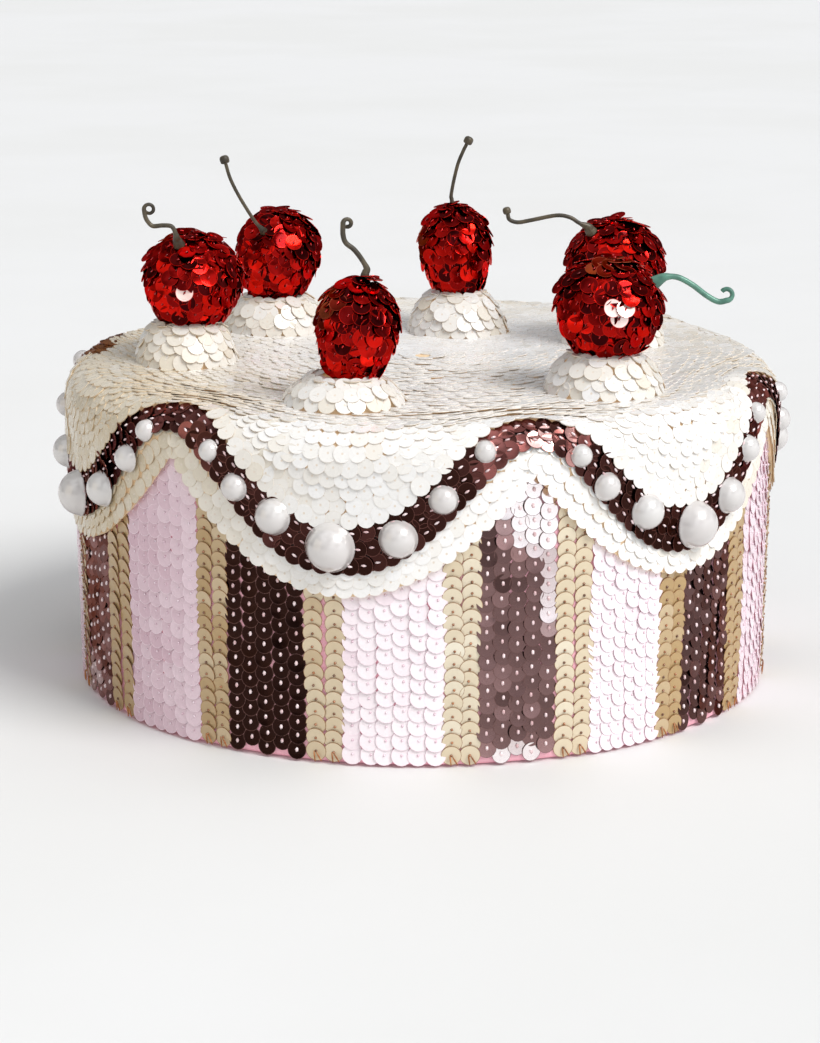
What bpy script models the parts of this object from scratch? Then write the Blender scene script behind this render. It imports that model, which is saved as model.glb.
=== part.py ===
"""A craft cake: a foam drum dressed in sequins, with a scalloped cover, a beaded band and six cherries.

Metres, +Z up. The origin is at the middle of the base, and the front looks along -Y.
Angles are in degrees round the cake from the front, positive towards +X.
"""
from math import asin, cos, pi, radians, sin, sqrt

import bmesh
import bpy
from mathutils import Matrix, Vector

MM = 0.001

# Driving dimensions of the drum
FOOT_RADIUS = 102.3 * MM
SIDE_RADIUS = 103.0 * MM
FOOT_ROUNDING = 2.0 * MM

# The scalloped cover lies on the drum and rolls over its shoulder
COVER_RADIUS = 104.4 * MM
COVER_TOP = 93.5 * MM
COVER_THICKNESS = 1.1 * MM
SHOULDER = 10.0 * MM
DRUM_SHOULDER = 11.0 * MM
FIELD_PADDING = 0.8 * MM
COVER_ROW_SHARES = (0.22, 0.40, 0.56, 0.74, 1.0)
SCALLOP_LOW = 48.0 * MM
SCALLOP_RISE = 34.5 * MM
GAP = 0.3 * MM

# The dark band follows the scallops and narrows where it goes over the shoulder
BAND_LOW = 61.3 * MM
BAND_RISE = 31.0 * MM
BAND_POWER = 2.5
BAND_HALF_WIDTH = 6.7 * MM
BAND_NARROWING = 3.3 * MM
BAND_THICKNESS = 0.6 * MM
BAND_ROWS = 3

# The scallops meet at these angles; they are as uneven as handwork is
PEAKS = (-102.0, -41.0, 16.6, 71.0, 133.3, 195.7, 258.0)
SWAGS = ("left", "front", "right", "back_right", "back", "back_left")
STEPS_PER_SWAG = 12

# Seven half pearls to a scallop, smallest at its ends: diameter, angle from PEARL_PLACES, height
PEARL_DIAMETERS = (6.3 * MM, 8.0 * MM, 10.4 * MM, 13.8 * MM, 10.6 * MM, 8.1 * MM, 6.3 * MM)
PEARL_HEIGHT_SHARE = 0.46
PEARL_PLACES = {
    "left": (
        (-96.0, 89.5), (-88.5, 79.5), (-81.0, 68.5), (-69.6, 60.7), (-58.5, 66.4), (-50.7, 77.9), (-46.4, 86.6),
    ),
    "front": (
        (-33.0, 84.8), (-28.6, 75.9), (-22.3, 69.1), (-13.5, 61.8), (-3.5, 64.8), (3.0, 75.6), (9.1, 87.7),
    ),
    "right": (
        (23.7, 85.3), (27.9, 76.3), (35.2, 67.6), (45.4, 61.0), (54.0, 66.4), (59.6, 77.8), (63.6, 86.3),
    ),
}
PEARL_SPREAD = (-0.68, -0.54, -0.31, 0.0, 0.33, 0.54, 0.73)
PEARL_LEVELS = (86.0, 76.5, 68.5, 61.3, 65.8, 76.5, 87.0)

# Rosettes: three rows of discs in a low rounded mound with a hollow for the cherry
ROSETTE_ROWS = 3
ROSETTE_SWELL = (0.0, 0.5, 0.85, 1.0)
ROSETTE_HOLLOW = 8.5 * MM
ROSETTE_STEP = 0.7 * MM
ROSETTE_SIDES = 16

# Distance and angle of each rosette's middle, its rim, its foot and its height
ROSETTES = {
    1: dict(ring=70.2, angle=-83.3, rim=11.2, foot=15.4, mound=11.8),
    2: dict(ring=63.7, angle=-133.7, rim=11.5, foot=16.5, mound=10.5),
    3: dict(ring=70.0, angle=-18.0, rim=11.5, foot=17.3, mound=7.5),
    4: dict(ring=42.2, angle=165.3, rim=9.9, foot=16.2, mound=12.5),
    5: dict(ring=62.4, angle=111.6, rim=11.5, foot=16.5, mound=11.0),
    6: dict(ring=71.4, angle=45.6, rim=11.5, foot=17.5, mound=10.8),
}

# Each cherry stands on its rosette: its sideways shift, width, top level and lean to +X,
# and the direction in which its stem leaves it
CHERRIES = {
    1: dict(shift=2.2, width=29.0, top=132.6, lean=14.0, stem=(-0.22, -0.55, 0.80)),
    2: dict(shift=1.0, width=26.0, top=131.8, lean=12.0, stem=(-0.30, -0.74, 0.61)),
    3: dict(shift=3.6, width=23.0, top=129.3, lean=6.0, stem=(0.19, 0.0, 0.98)),
    4: dict(shift=-0.6, width=22.5, top=134.1, lean=-5.0, stem=(-0.10, 0.0, 0.99)),
    5: dict(shift=0.3, width=29.6, top=132.0, lean=0.0, stem=(-0.52, -0.39, 0.76)),
    6: dict(shift=1.0, width=30.4, top=131.9, lean=4.0, stem=(0.83, -0.16, 0.53)),
}
CHERRY_EGG = 0.10
CHERRY_NEST = 2.4 * MM

# Stems: wire with a flared foot, ending in a ring or in a knob. A route is from the cherry's middle,
# across and up. A ring is the side it turns to, its radius and how many half turns it makes
STEMS = {
    1: dict(wire=0.65, flare=1.8, ring=(-1.0, 1.35, 1.85),
            route=((-3.8, 14.9), (-4.9, 17.4), (-7.5, 17.8), (-10.4, 17.6), (-11.8, 18.8),
                   (-12.6, 20.4), (-12.9, 22.3))),
    2: dict(wire=0.55, flare=1.3, knob=1.5,
            route=((-6.7, 13.2), (-10.8, 19.9), (-13.6, 25.6), (-15.0, 30.3))),
    3: dict(wire=0.72, flare=1.25, ring=(-1.0, 1.1, 1.6),
            route=((1.1, 19.9), (-0.8, 22.3), (-2.9, 24.0), (-3.7, 26.2), (-3.7, 29.4))),
    4: dict(wire=0.55, flare=0.7, knob=1.45,
            route=((-0.6, 21.9), (0.7, 27.1), (2.3, 31.0), (3.3, 33.0))),
    5: dict(wire=0.63, flare=1.9, knob=1.25,
            route=((-11.4, 14.2), (-14.2, 15.9), (-18.3, 16.5), (-25.6, 15.1), (-29.8, 14.4),
                   (-32.3, 15.2), (-32.9, 16.9))),
    6: dict(wire=0.82, flare=1.9, ring=(1.0, 1.5, 1.25),
            route=((15.8, 9.6), (18.9, 9.4), (22.9, 7.3), (26.9, 4.3), (30.2, 2.6), (32.9, 3.0))),
}
STEM_START = 1.2 * MM
STEM_PLANE = 3.0 * MM
SAMPLES_PER_SPAN = 2
RING_SAMPLES = 7
RING_THINNING = 0.8
RING_DRIFT = 1.3 * MM
# Along the knob and across it, in shares of its half width
KNOB_SHAPE = ((0.3, 0.9), (1.1, 1.0), (1.7, 0.55))

# Colours: red, green, blue, roughness, metallic
FINISHES = {
    "drum_sequins": ((0.78, 0.62, 0.64), 0.45, 0.0),
    "cream_sequins": ((0.86, 0.81, 0.72), 0.45, 0.0),
    "brown_sequins": ((0.045, 0.018, 0.016), 0.25, 0.8),
    "cherry_sequins": ((0.42, 0.008, 0.012), 0.2, 0.9),
    "pearl": ((0.82, 0.79, 0.76), 0.2, 0.0),
    "stem_wire": ((0.06, 0.07, 0.04), 0.45, 0.2),
}


def clear_scene():
    for obj in list(bpy.data.objects):
        bpy.data.objects.remove(obj, do_unlink=True)


def make_collection(name):
    collection = bpy.data.collections.new(name)
    bpy.context.scene.collection.children.link(collection)
    return collection


def make_finish(name):
    colour, roughness, metallic = FINISHES[name]
    material = bpy.data.materials.new(name)
    material.use_nodes = True
    shader = material.node_tree.nodes["Principled BSDF"]
    shader.inputs["Base Color"].default_value = (*colour, 1.0)
    shader.inputs["Roughness"].default_value = roughness
    shader.inputs["Metallic"].default_value = metallic
    return material


def add_object(name, mesh, finish, collection, smooth_angle=40.0):
    obj = bpy.data.objects.new(name, mesh)
    collection.objects.link(obj)
    if finish is not None:
        if not mesh.materials:
            mesh.materials.append(finish)
        mesh.shade_smooth()
        mesh.set_sharp_from_angle(angle=radians(smooth_angle))
    return obj


def turned(name, profile, steps, finish, collection):
    """Turn a profile of (radius, height) points, top first, round the Z axis."""
    mesh = bpy.data.meshes.new(name)
    points = [(radius, 0.0, height) for radius, height in profile]
    mesh.from_pydata(points, [(i, i + 1) for i in range(len(points) - 1)], [])
    obj = add_object(name, mesh, finish, collection)
    screw = obj.modifiers.new("turn", "SCREW")
    screw.angle = 2 * pi
    screw.steps = steps
    screw.render_steps = steps
    screw.use_merge_vertices = True
    screw.merge_threshold = 0.00001
    screw.use_smooth_shade = True
    return obj


def baked(obj):
    """Swap an object's mesh for the one its modifiers make."""
    depsgraph = bpy.context.evaluated_depsgraph_get()
    mesh = bpy.data.meshes.new_from_object(obj.evaluated_get(depsgraph))
    obj.modifiers.clear()
    obj.data = mesh
    return obj


def round_the_cake(angle, radius, height):
    turn = radians(angle)
    return Vector((radius * sin(turn), -radius * cos(turn), height))


def padding(reach, up):
    """How far the cover's field swells: most in mid scallop, on the shoulder, none at its peaks."""
    across = cos(pi / 2 * reach) ** 2
    shoulder_level = COVER_TOP - SHOULDER
    along = max(0.0, 1.0 - abs(up - shoulder_level) / (1.6 * SHOULDER))
    return FIELD_PADDING * across * along


def cover_point(angle, reach, up, lift=0.0):
    """A point on the cover; up is measured along its surface from the base, over the shoulder."""
    start = COVER_TOP - SHOULDER
    outward = lift + padding(reach, up)
    if up <= start:
        return round_the_cake(angle, COVER_RADIUS + outward, up)
    bend = min((up - start) / SHOULDER, pi / 2)
    inward = max(0.0, up - start - SHOULDER * pi / 2)
    radius = COVER_RADIUS - SHOULDER + (SHOULDER + outward) * cos(bend) - inward
    height = start + (SHOULDER + outward) * sin(bend)
    return round_the_cake(angle, max(radius, 0.0), height)


def column_place(column):
    """The angle of a column, and its reach from -1 to 1 between the scallop's two peaks."""
    swag, step = divmod(column % (STEPS_PER_SWAG * len(SWAGS)), STEPS_PER_SWAG)
    share = step / STEPS_PER_SWAG
    angle = PEAKS[swag] + (PEAKS[swag + 1] - PEAKS[swag]) * share
    return angle, 2 * share - 1


def reach_at(angle):
    """How far an angle is from mid scallop, -1 to 1."""
    for low, high in zip(PEAKS, PEAKS[1:]):
        if low <= angle <= high:
            return (2 * angle - low - high) / (high - low)
    return 1.0


def scallop_edge(reach):
    return SCALLOP_LOW + SCALLOP_RISE * reach * reach


def band_middle(reach):
    return BAND_LOW + BAND_RISE * abs(sin(pi / 2 * reach)) ** BAND_POWER


def band_half_height(reach):
    """Half the band's height as measured up the side, longer where it climbs."""
    wave = abs(sin(pi / 2 * reach))
    climb = BAND_RISE * BAND_POWER * wave ** (BAND_POWER - 1) * abs(cos(pi / 2 * reach)) * pi / 2
    half_swag = radians(30.0) * COVER_RADIUS
    width = BAND_HALF_WIDTH - BAND_NARROWING * wave * wave
    return width * sqrt(1.0 + (climb / half_swag) ** 2)


def wrapped_sheet(name, rows, place, finish, collection, thickness, side):
    """Bend a flat grid right round the cake, row 0 lowest, and give it a thickness."""
    columns = STEPS_PER_SWAG * len(SWAGS)
    bm = bmesh.new()
    bmesh.ops.create_grid(bm, x_segments=columns, y_segments=rows, size=1.0)
    for vert in bm.verts:
        column = round((vert.co.x + 1.0) / 2.0 * columns)
        row = round((vert.co.y + 1.0) / 2.0 * rows)
        angle, reach = column_place(column)
        vert.co = place(angle, reach, row)
    bmesh.ops.remove_doubles(bm, verts=bm.verts, dist=0.000001)
    bmesh.ops.triangulate(bm, faces=bm.faces, quad_method="SHORT_EDGE")
    mesh = bpy.data.meshes.new(name)
    bm.to_mesh(mesh)
    bm.free()
    obj = add_object(name, mesh, finish, collection)
    shell = obj.modifiers.new("thickness", "SOLIDIFY")
    shell.thickness = thickness
    shell.offset = side
    return obj


def make_body(finish, collection):
    """The foam drum: a slight barrel with the cover's shoulder, less the cover and the gap."""
    shoulder = DRUM_SHOULDER
    top = COVER_TOP - COVER_THICKNESS - GAP
    profile = [(0.0, top)]
    for step in range(5):
        bend = pi / 2 * (1 - step / 4)
        profile.append((SIDE_RADIUS - shoulder + shoulder * cos(bend), top - shoulder + shoulder * sin(bend)))
    profile.append((SIDE_RADIUS, 45 * MM))
    for step in range(3):
        bend = pi / 2 * step / 2
        profile.append((FOOT_RADIUS - FOOT_ROUNDING * (1 - cos(bend)), FOOT_ROUNDING * (1 - sin(bend))))
    profile.append((0.0, 0.0))
    return turned("cake_body", profile, STEPS_PER_SWAG * len(SWAGS), finish, collection)


def band_levels(reach):
    """The levels of the band's rows, from its lower to its upper edge."""
    middle, half = band_middle(reach), band_half_height(reach)
    return [middle + half * (2 * row / BAND_ROWS - 1) for row in range(BAND_ROWS + 1)]


def make_cover(finish, collection):
    """The scalloped cover: its edge, the rows that the band lies on, then rows over the shoulder."""
    flat = COVER_TOP + SHOULDER * (pi / 2 - 1) + 9 * MM
    middle = flat - 9 * MM + COVER_RADIUS - SHOULDER

    def levels(reach):
        rows = [scallop_edge(reach)] + band_levels(reach)
        upper = rows[-1]
        rows += [upper + (flat - upper) * share for share in COVER_ROW_SHARES]
        return rows + [middle - 50 * MM, middle]

    def place(angle, reach, row):
        return cover_point(angle, reach, levels(reach)[row])

    return wrapped_sheet("icing_cover", len(levels(0.0)) - 1, place, finish, collection, COVER_THICKNESS, -1.0)


def make_band(finish, collection):
    def place(angle, reach, row):
        return cover_point(angle, reach, band_levels(reach)[row], lift=GAP)

    return wrapped_sheet("trim_band", BAND_ROWS, place, finish, collection, BAND_THICKNESS, 1.0)


def pearl_mesh(diameter):
    """A half pearl: the upper half of a ball, pressed a little flat, with a flat back."""
    sides = round(6 + 0.6 * diameter / MM)
    bm = bmesh.new()
    bmesh.ops.create_uvsphere(bm, u_segments=sides, v_segments=6 if sides < 14 else 8, radius=diameter / 2)
    everything = bm.verts[:] + bm.edges[:] + bm.faces[:]
    bmesh.ops.bisect_plane(bm, geom=everything, plane_no=(0, 0, 1), clear_inner=True)
    bmesh.ops.holes_fill(bm, edges=[edge for edge in bm.edges if edge.is_boundary])
    bmesh.ops.scale(bm, vec=(1, 1, 2 * PEARL_HEIGHT_SHARE), verts=bm.verts)
    bmesh.ops.recalc_face_normals(bm, faces=bm.faces)
    mesh = bpy.data.meshes.new("half_pearl")
    bm.to_mesh(mesh)
    bm.free()
    return mesh


def pearl_places(swag_number):
    """The angle and height of a scallop's seven pearls."""
    name = SWAGS[swag_number]
    if name in PEARL_PLACES:
        return [(angle, height * MM) for angle, height in PEARL_PLACES[name]]
    low, high = PEAKS[swag_number], PEAKS[swag_number + 1]
    middle, half = (low + high) / 2, (high - low) / 2
    return [(middle + half * share, level * MM) for share, level in zip(PEARL_SPREAD, PEARL_LEVELS)]


def pearl_frame(angle, height, lift):
    """Where a pearl sits, with its own Z square to the cover."""
    start = COVER_TOP - SHOULDER
    bend = asin(min(1.0, max(0.0, (height - start) / SHOULDER)))
    up = start + SHOULDER * bend if height > start else height
    origin = cover_point(angle, reach_at(angle), up, lift)
    outward = round_the_cake(angle, cos(bend), sin(bend))
    across = Vector((cos(radians(angle)), sin(radians(angle)), 0.0))
    along = outward.cross(across)
    return Matrix.Translation(origin) @ Matrix((across, along, outward)).transposed().to_4x4()


def make_pearls(band, finish, collection, helpers):
    """Thirty pearls stand alone; the twelve smallest are one piece with the band."""
    lift = GAP + BAND_THICKNESS + GAP
    meshes = {diameter: pearl_mesh(diameter) for diameter in sorted(set(PEARL_DIAMETERS))}
    for swag_number, swag in enumerate(SWAGS):
        for number, (angle, height) in enumerate(pearl_places(swag_number)):
            diameter = PEARL_DIAMETERS[number]
            small = number in (0, len(PEARL_DIAMETERS) - 1)
            if small:
                pearl = add_object("small_pearl", meshes[diameter].copy(), None, helpers)
                pearl.matrix_world = pearl_frame(angle, height, GAP + 0.4 * BAND_THICKNESS)
                pearl.display_type = "WIRE"
                pearl.hide_render = True
            else:
                pearl = add_object(f"pearl_{swag}_{number}", meshes[diameter], finish, collection)
                pearl.matrix_world = pearl_frame(angle, height, lift)
    join = band.modifiers.new("small_pearls", "BOOLEAN")
    join.operation = "UNION"
    join.operand_type = "COLLECTION"
    join.collection = helpers
    baked(band)
    for pearl in list(helpers.objects):
        bpy.data.objects.remove(pearl, do_unlink=True)


def cherry_facts(number):
    """The cherry's middle, half width and half height, worked out from where its rosette holds it."""
    rosette, cherry = ROSETTES[number], CHERRIES[number]
    middle = round_the_cake(rosette["angle"], rosette["ring"] * MM, 0.0)
    middle.x += cherry["shift"] * MM
    top = cherry["top"] * MM
    bottom = COVER_TOP + rosette["mound"] * MM - CHERRY_NEST
    middle.z = (top + bottom) / 2
    return middle, cherry["width"] * MM / 2, (top - bottom) / 2


def cherry_mesh(number, grow):
    """An egg, a little fuller above its middle, leaning by its own angle."""
    middle, half_width, half_height = cherry_facts(number)
    bm = bmesh.new()
    bmesh.ops.create_uvsphere(bm, u_segments=16, v_segments=9, radius=1.0)
    for vert in bm.verts:
        fuller = 1.0 + CHERRY_EGG * vert.co.z * (1.0 - vert.co.z * vert.co.z)
        vert.co = Vector((
            vert.co.x * fuller * (half_width + grow),
            vert.co.y * fuller * (half_width + grow),
            vert.co.z * (half_height + grow),
        ))
    bmesh.ops.rotate(bm, matrix=Matrix.Rotation(radians(CHERRIES[number]["lean"]), 3, "Y"), verts=bm.verts)
    bmesh.ops.translate(bm, vec=middle, verts=bm.verts)
    mesh = bpy.data.meshes.new(f"cherry_{number}")
    bm.to_mesh(mesh)
    bm.free()
    return mesh


def make_rosette(number, finish, collection, helpers):
    """A rounded mound of flared rows, with a hollow that clears the cherry by the gap."""
    facts = ROSETTES[number]
    height, rim, foot = facts["mound"] * MM, facts["rim"] * MM, facts["foot"] * MM
    floor = COVER_TOP + GAP
    profile = [(0.0, floor + height), (ROSETTE_HOLLOW, floor + height)]
    for row in range(ROSETTE_ROWS):
        upper, lower = (rim + (foot - rim) * share for share in ROSETTE_SWELL[row:row + 2])
        top_level = floor + (height - 0.8 * MM) * (1 - row / ROSETTE_ROWS)
        low_level = floor + (height - 0.8 * MM) * (1 - (row + 1) / ROSETTE_ROWS)
        profile.append((upper - ROSETTE_STEP, top_level))
        profile.append((lower, low_level + (0.6 * MM if row < ROSETTE_ROWS - 1 else 0.0)))
    profile.append((0.0, floor))
    rosette = turned(f"rosette_{number}", profile, ROSETTE_SIDES, finish, collection)
    rosette.location = round_the_cake(facts["angle"], facts["ring"] * MM, 0.0)
    cutter = add_object(f"hollow_{number}", cherry_mesh(number, GAP), None, helpers)
    cutter.display_type = "WIRE"
    cutter.hide_render = True
    hollow = rosette.modifiers.new("hollow", "BOOLEAN")
    hollow.operation = "DIFFERENCE"
    hollow.object = cutter


def smooth_route(points):
    """Points read from a smooth curve through the given ones."""
    padded = [2 * points[0] - points[1], *points, 2 * points[-1] - points[-2]]
    route = []
    for span in range(len(points) - 1):
        a, b, c, d = padded[span:span + 4]
        for step in range(SAMPLES_PER_SPAN):
            t = step / SAMPLES_PER_SPAN
            route.append(0.5 * ((2 * b) + (c - a) * t + (2 * a - 5 * b + 4 * c - d) * t * t
                                + (3 * b - a - 3 * c + d) * t * t * t))
    return route + [points[-1]]


def stem_route(number):
    """Where the stem's wire runs, from just above the cherry's skin, and how thick it is there."""
    middle, half_width, half_height = cherry_facts(number)
    way = Vector(CHERRIES[number]["stem"]).normalized()
    skin = Vector((way.x * half_width, way.y * half_width, way.z * half_height))
    outward = Vector((way.x / half_width, way.y / half_width, way.z / half_height)).normalized()
    foot = middle + skin + outward * (3.0 * GAP)
    plane = foot.y + outward.y * STEM_PLANE
    facts = STEMS[number]
    wire, flare = facts["wire"] * MM, facts["flare"] * MM
    corners = [foot, foot + outward * STEM_START]
    corners += [Vector((middle.x + x * MM, plane, middle.z + z * MM)) for x, z in facts["route"]]
    route = smooth_route(corners)
    radii = []
    walked = 0.0
    for place, before in zip(route, route[:1] + route):
        walked += (place - before).length
        radii.append(wire + (flare - wire) * max(0.0, 1.0 - walked / (2 * flare)))
    ahead = (route[-1] - route[-2]).normalized()
    if "ring" in facts:
        side, radius, half_turns = facts["ring"]
        side = Vector((-ahead.z, 0.0, ahead.x)) * side
        radius *= MM
        centre = route[-1] + side * radius
        for step in range(1, RING_SAMPLES + 1):
            share = step / RING_SAMPLES
            turn = half_turns * pi * share
            drift = Vector((0.0, RING_DRIFT * share, 0.0))
            route.append(centre + (ahead * sin(turn) - side * cos(turn)) * radius + drift)
            radii.append(RING_THINNING * wire)
    else:
        knob = facts["knob"] * MM
        end = route[-1]
        for along, across in KNOB_SHAPE:
            route.append(end + ahead * along * knob)
            radii.append(across * knob)
    return route, radii


def make_stem(number, finish, collection):
    """A wire swept along its route, then made a closed mesh of triangles."""
    curve = bpy.data.curves.new(f"wire_{number}", "CURVE")
    curve.dimensions = "3D"
    curve.bevel_depth = 1.0
    curve.bevel_resolution = 1
    curve.use_fill_caps = True
    route, radii = stem_route(number)
    spline = curve.splines.new("POLY")
    spline.points.add(len(route) - 1)
    for point, place, radius in zip(spline.points, route, radii):
        point.co = (*place, 1.0)
        point.radius = radius
    wire = bpy.data.objects.new(f"wire_{number}", curve)
    collection.objects.link(wire)
    depsgraph = bpy.context.evaluated_depsgraph_get()
    mesh = bpy.data.meshes.new_from_object(wire.evaluated_get(depsgraph))
    bpy.data.objects.remove(wire, do_unlink=True)
    bm = bmesh.new()
    bm.from_mesh(mesh)
    bmesh.ops.remove_doubles(bm, verts=bm.verts, dist=0.000001)
    bmesh.ops.triangulate(bm, faces=bm.faces, quad_method="SHORT_EDGE")
    bm.to_mesh(mesh)
    bm.free()
    add_object(f"stem_{number}", mesh, finish, collection, 60.0)


def build():
    clear_scene()
    cake = make_collection("sequin_cake")
    cutters = make_collection("cutters")
    small_pearls = make_collection("small_pearls")
    finishes = {name: make_finish(name) for name in FINISHES}
    make_body(finishes["drum_sequins"], cake)
    make_cover(finishes["cream_sequins"], cake)
    band = make_band(finishes["brown_sequins"], cake)
    make_pearls(band, finishes["pearl"], cake, small_pearls)
    for number in CHERRIES:
        make_rosette(number, finishes["cream_sequins"], cake, cutters)
        add_object(f"cherry_{number}", cherry_mesh(number, 0.0), finishes["cherry_sequins"], cake, 60.0)
        make_stem(number, finishes["stem_wire"], cake)


build()
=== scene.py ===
"""The sequin cake's looks: every disc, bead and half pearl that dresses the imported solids.

Metres, +Z up. The origin is at the middle of the base, and the front looks along -Y.
Angles are in degrees round the cake from the front, positive towards +X.
"""

from math import asin, cos, pi, radians, sin

import bmesh
import bpy
import numpy as np
from mathutils import Matrix, Vector


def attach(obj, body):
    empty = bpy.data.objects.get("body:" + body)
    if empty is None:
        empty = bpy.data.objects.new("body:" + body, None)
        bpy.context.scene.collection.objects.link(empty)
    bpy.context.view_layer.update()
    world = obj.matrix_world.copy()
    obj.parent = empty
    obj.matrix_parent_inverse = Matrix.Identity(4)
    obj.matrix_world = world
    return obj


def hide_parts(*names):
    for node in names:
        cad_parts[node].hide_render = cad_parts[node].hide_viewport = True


MM = 0.001

# The drum and its cover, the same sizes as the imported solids
FOOT_RADIUS = 102.3 * MM
SIDE_RADIUS = 103.0 * MM
FOOT_ROUNDING = 2.0 * MM
COVER_RADIUS = 104.4 * MM
COVER_TOP = 93.5 * MM
COVER_THICKNESS = 1.1 * MM
SHOULDER = 10.0 * MM
DRUM_SHOULDER = 11.0 * MM
FIELD_PADDING = 0.8 * MM
SCALLOP_LOW = 48.0 * MM
SCALLOP_RISE = 34.5 * MM
GAP = 0.3 * MM
BAND_LOW = 61.3 * MM
BAND_RISE = 31.0 * MM
BAND_POWER = 2.5
BAND_HALF_WIDTH = 6.7 * MM
BAND_NARROWING = 3.3 * MM
BAND_THICKNESS = 0.6 * MM
PEAKS = np.array([-102.0, -41.0, 16.6, 71.0, 133.3, 195.7, 258.0])
SWAGS = ("left", "front", "right", "back_right", "back", "back_left")
FLAT_START = COVER_TOP + SHOULDER * (pi / 2 - 1)
MIDDLE = FLAT_START + COVER_RADIUS - SHOULDER

# Half pearls: diameter from the first of a scallop to its last, then the angle and height of each
PEARL_DIAMETERS = (6.3, 8.0, 10.4, 13.8, 10.6, 8.1, 6.3)
PEARL_HEIGHT_SHARE = 0.46
PEARL_PLACES = {
    "left": (
        (-96.0, 89.5), (-88.5, 79.5), (-81.0, 68.5), (-69.6, 60.7),
        (-58.5, 66.4), (-50.7, 77.9), (-46.4, 86.6),
    ),
    "front": (
        (-33.0, 84.8), (-28.6, 75.9), (-22.3, 69.1), (-13.5, 61.8),
        (-3.5, 64.8), (3.0, 75.6), (9.1, 87.7),
    ),
    "right": (
        (23.7, 85.3), (27.9, 76.3), (35.2, 67.6), (45.4, 61.0),
        (54.0, 66.4), (59.6, 77.8), (63.6, 86.3),
    ),
}
PEARL_SPREAD = (-0.68, -0.54, -0.31, 0.0, 0.33, 0.54, 0.73)
PEARL_LEVELS = (86.0, 76.5, 68.5, 61.3, 65.8, 76.5, 87.0)

# Rosettes: how far a mound has swelled from its rim to its foot, at even steps down its side
ROSETTE_SWELL = (0.0, 0.5, 0.85, 1.0)

# Distance and angle of each rosette's middle, its rim, its foot and its height
ROSETTES = {
    1: dict(ring=70.2, angle=-83.3, rim=11.2, foot=15.4, mound=11.8),
    2: dict(ring=63.7, angle=-133.7, rim=11.5, foot=16.5, mound=10.5),
    3: dict(ring=70.0, angle=-18.0, rim=11.5, foot=17.3, mound=7.5),
    4: dict(ring=42.2, angle=165.3, rim=9.9, foot=16.2, mound=12.5),
    5: dict(ring=62.4, angle=111.6, rim=11.5, foot=16.5, mound=11.0),
    6: dict(ring=71.4, angle=45.6, rim=11.5, foot=17.5, mound=10.8),
}

# Each cherry stands on its rosette: its sideways shift, width, top level and lean to +X,
# and the direction in which its stem leaves it
CHERRIES = {
    1: dict(shift=2.2, width=29.0, top=132.6, lean=14.0, stem=(-0.22, -0.55, 0.80)),
    2: dict(shift=1.0, width=26.0, top=131.8, lean=12.0, stem=(-0.30, -0.74, 0.61)),
    3: dict(shift=3.6, width=23.0, top=129.3, lean=6.0, stem=(0.19, 0.0, 0.98)),
    4: dict(shift=-0.6, width=22.5, top=134.1, lean=-5.0, stem=(-0.10, 0.0, 0.99)),
    5: dict(shift=0.3, width=29.6, top=132.0, lean=0.0, stem=(-0.52, -0.39, 0.76)),
    6: dict(shift=1.0, width=30.4, top=131.9, lean=4.0, stem=(0.83, -0.16, 0.53)),
}
CHERRY_EGG = 0.10
CHERRY_NEST = 2.4 * MM

# Stems: wire with a flared foot, ending in a ring or in a knob. A route is from the cherry's middle,
# across and up. A ring is the side it turns to, its radius and how many half turns it makes
STEMS = {
    1: dict(wire=0.65, flare=1.8, ring=(-1.0, 1.35, 1.85),
            route=((-3.8, 14.9), (-4.9, 17.4), (-7.5, 17.8), (-10.4, 17.6), (-11.8, 18.8),
                   (-12.6, 20.4), (-12.9, 22.3))),
    2: dict(wire=0.55, flare=1.3, knob=1.5,
            route=((-6.7, 13.2), (-10.8, 19.9), (-13.6, 25.6), (-15.0, 30.3))),
    3: dict(wire=0.72, flare=1.25, ring=(-1.0, 1.1, 1.6),
            route=((1.1, 19.9), (-0.8, 22.3), (-2.9, 24.0), (-3.7, 26.2), (-3.7, 29.4))),
    4: dict(wire=0.55, flare=0.7, knob=1.45,
            route=((-0.6, 21.9), (0.7, 27.1), (2.3, 31.0), (3.3, 33.0))),
    5: dict(wire=0.63, flare=1.9, knob=1.25,
            route=((-11.4, 14.2), (-14.2, 15.9), (-18.3, 16.5), (-25.6, 15.1), (-29.8, 14.4),
                   (-32.3, 15.2), (-32.9, 16.9))),
    6: dict(wire=0.82, flare=1.9, ring=(1.0, 1.5, 1.25),
            route=((15.8, 9.6), (18.9, 9.4), (22.9, 7.3), (26.9, 4.3), (30.2, 2.6), (32.9, 3.0))),
}
STEM_START = 1.2 * MM
STEM_PLANE = 3.0 * MM
RING_THINNING = 0.8
RING_DRIFT = 1.3 * MM
KNOB_SHAPE = (
    (0.0, 0.5), (0.12, 0.82), (0.35, 0.96), (0.8, 1.0), (1.2, 0.97), (1.5, 0.8), (1.68, 0.5), (1.72, 0.2),
)

# The sewn discs
DISC = 5.2 * MM
STRIPE_DISCS = {"pink": 5.8 * MM, "gold": 5.7 * MM, "brown": 5.4 * MM}
FILM = 0.16 * MM
THICK_FILM = 0.28 * MM
CUPPED = 1.3
COVER_PITCH = 4.3 * MM
TOP_ROW_PITCH = 2.9 * MM
TOP_STEP = 0.24 * MM
FIELD_ROWS = 14
FIELD_STEP = 0.32 * MM
FIELD_EDGE = 1.7 * MM
FIELD_REACH = 20.0 * MM
FIELD_LIFTS = (0.9 * MM, 0.45 * MM, 0.15 * MM)
BAND_PITCH = 3.85 * MM
BAND_ROW_SHARE = 0.68

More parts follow.
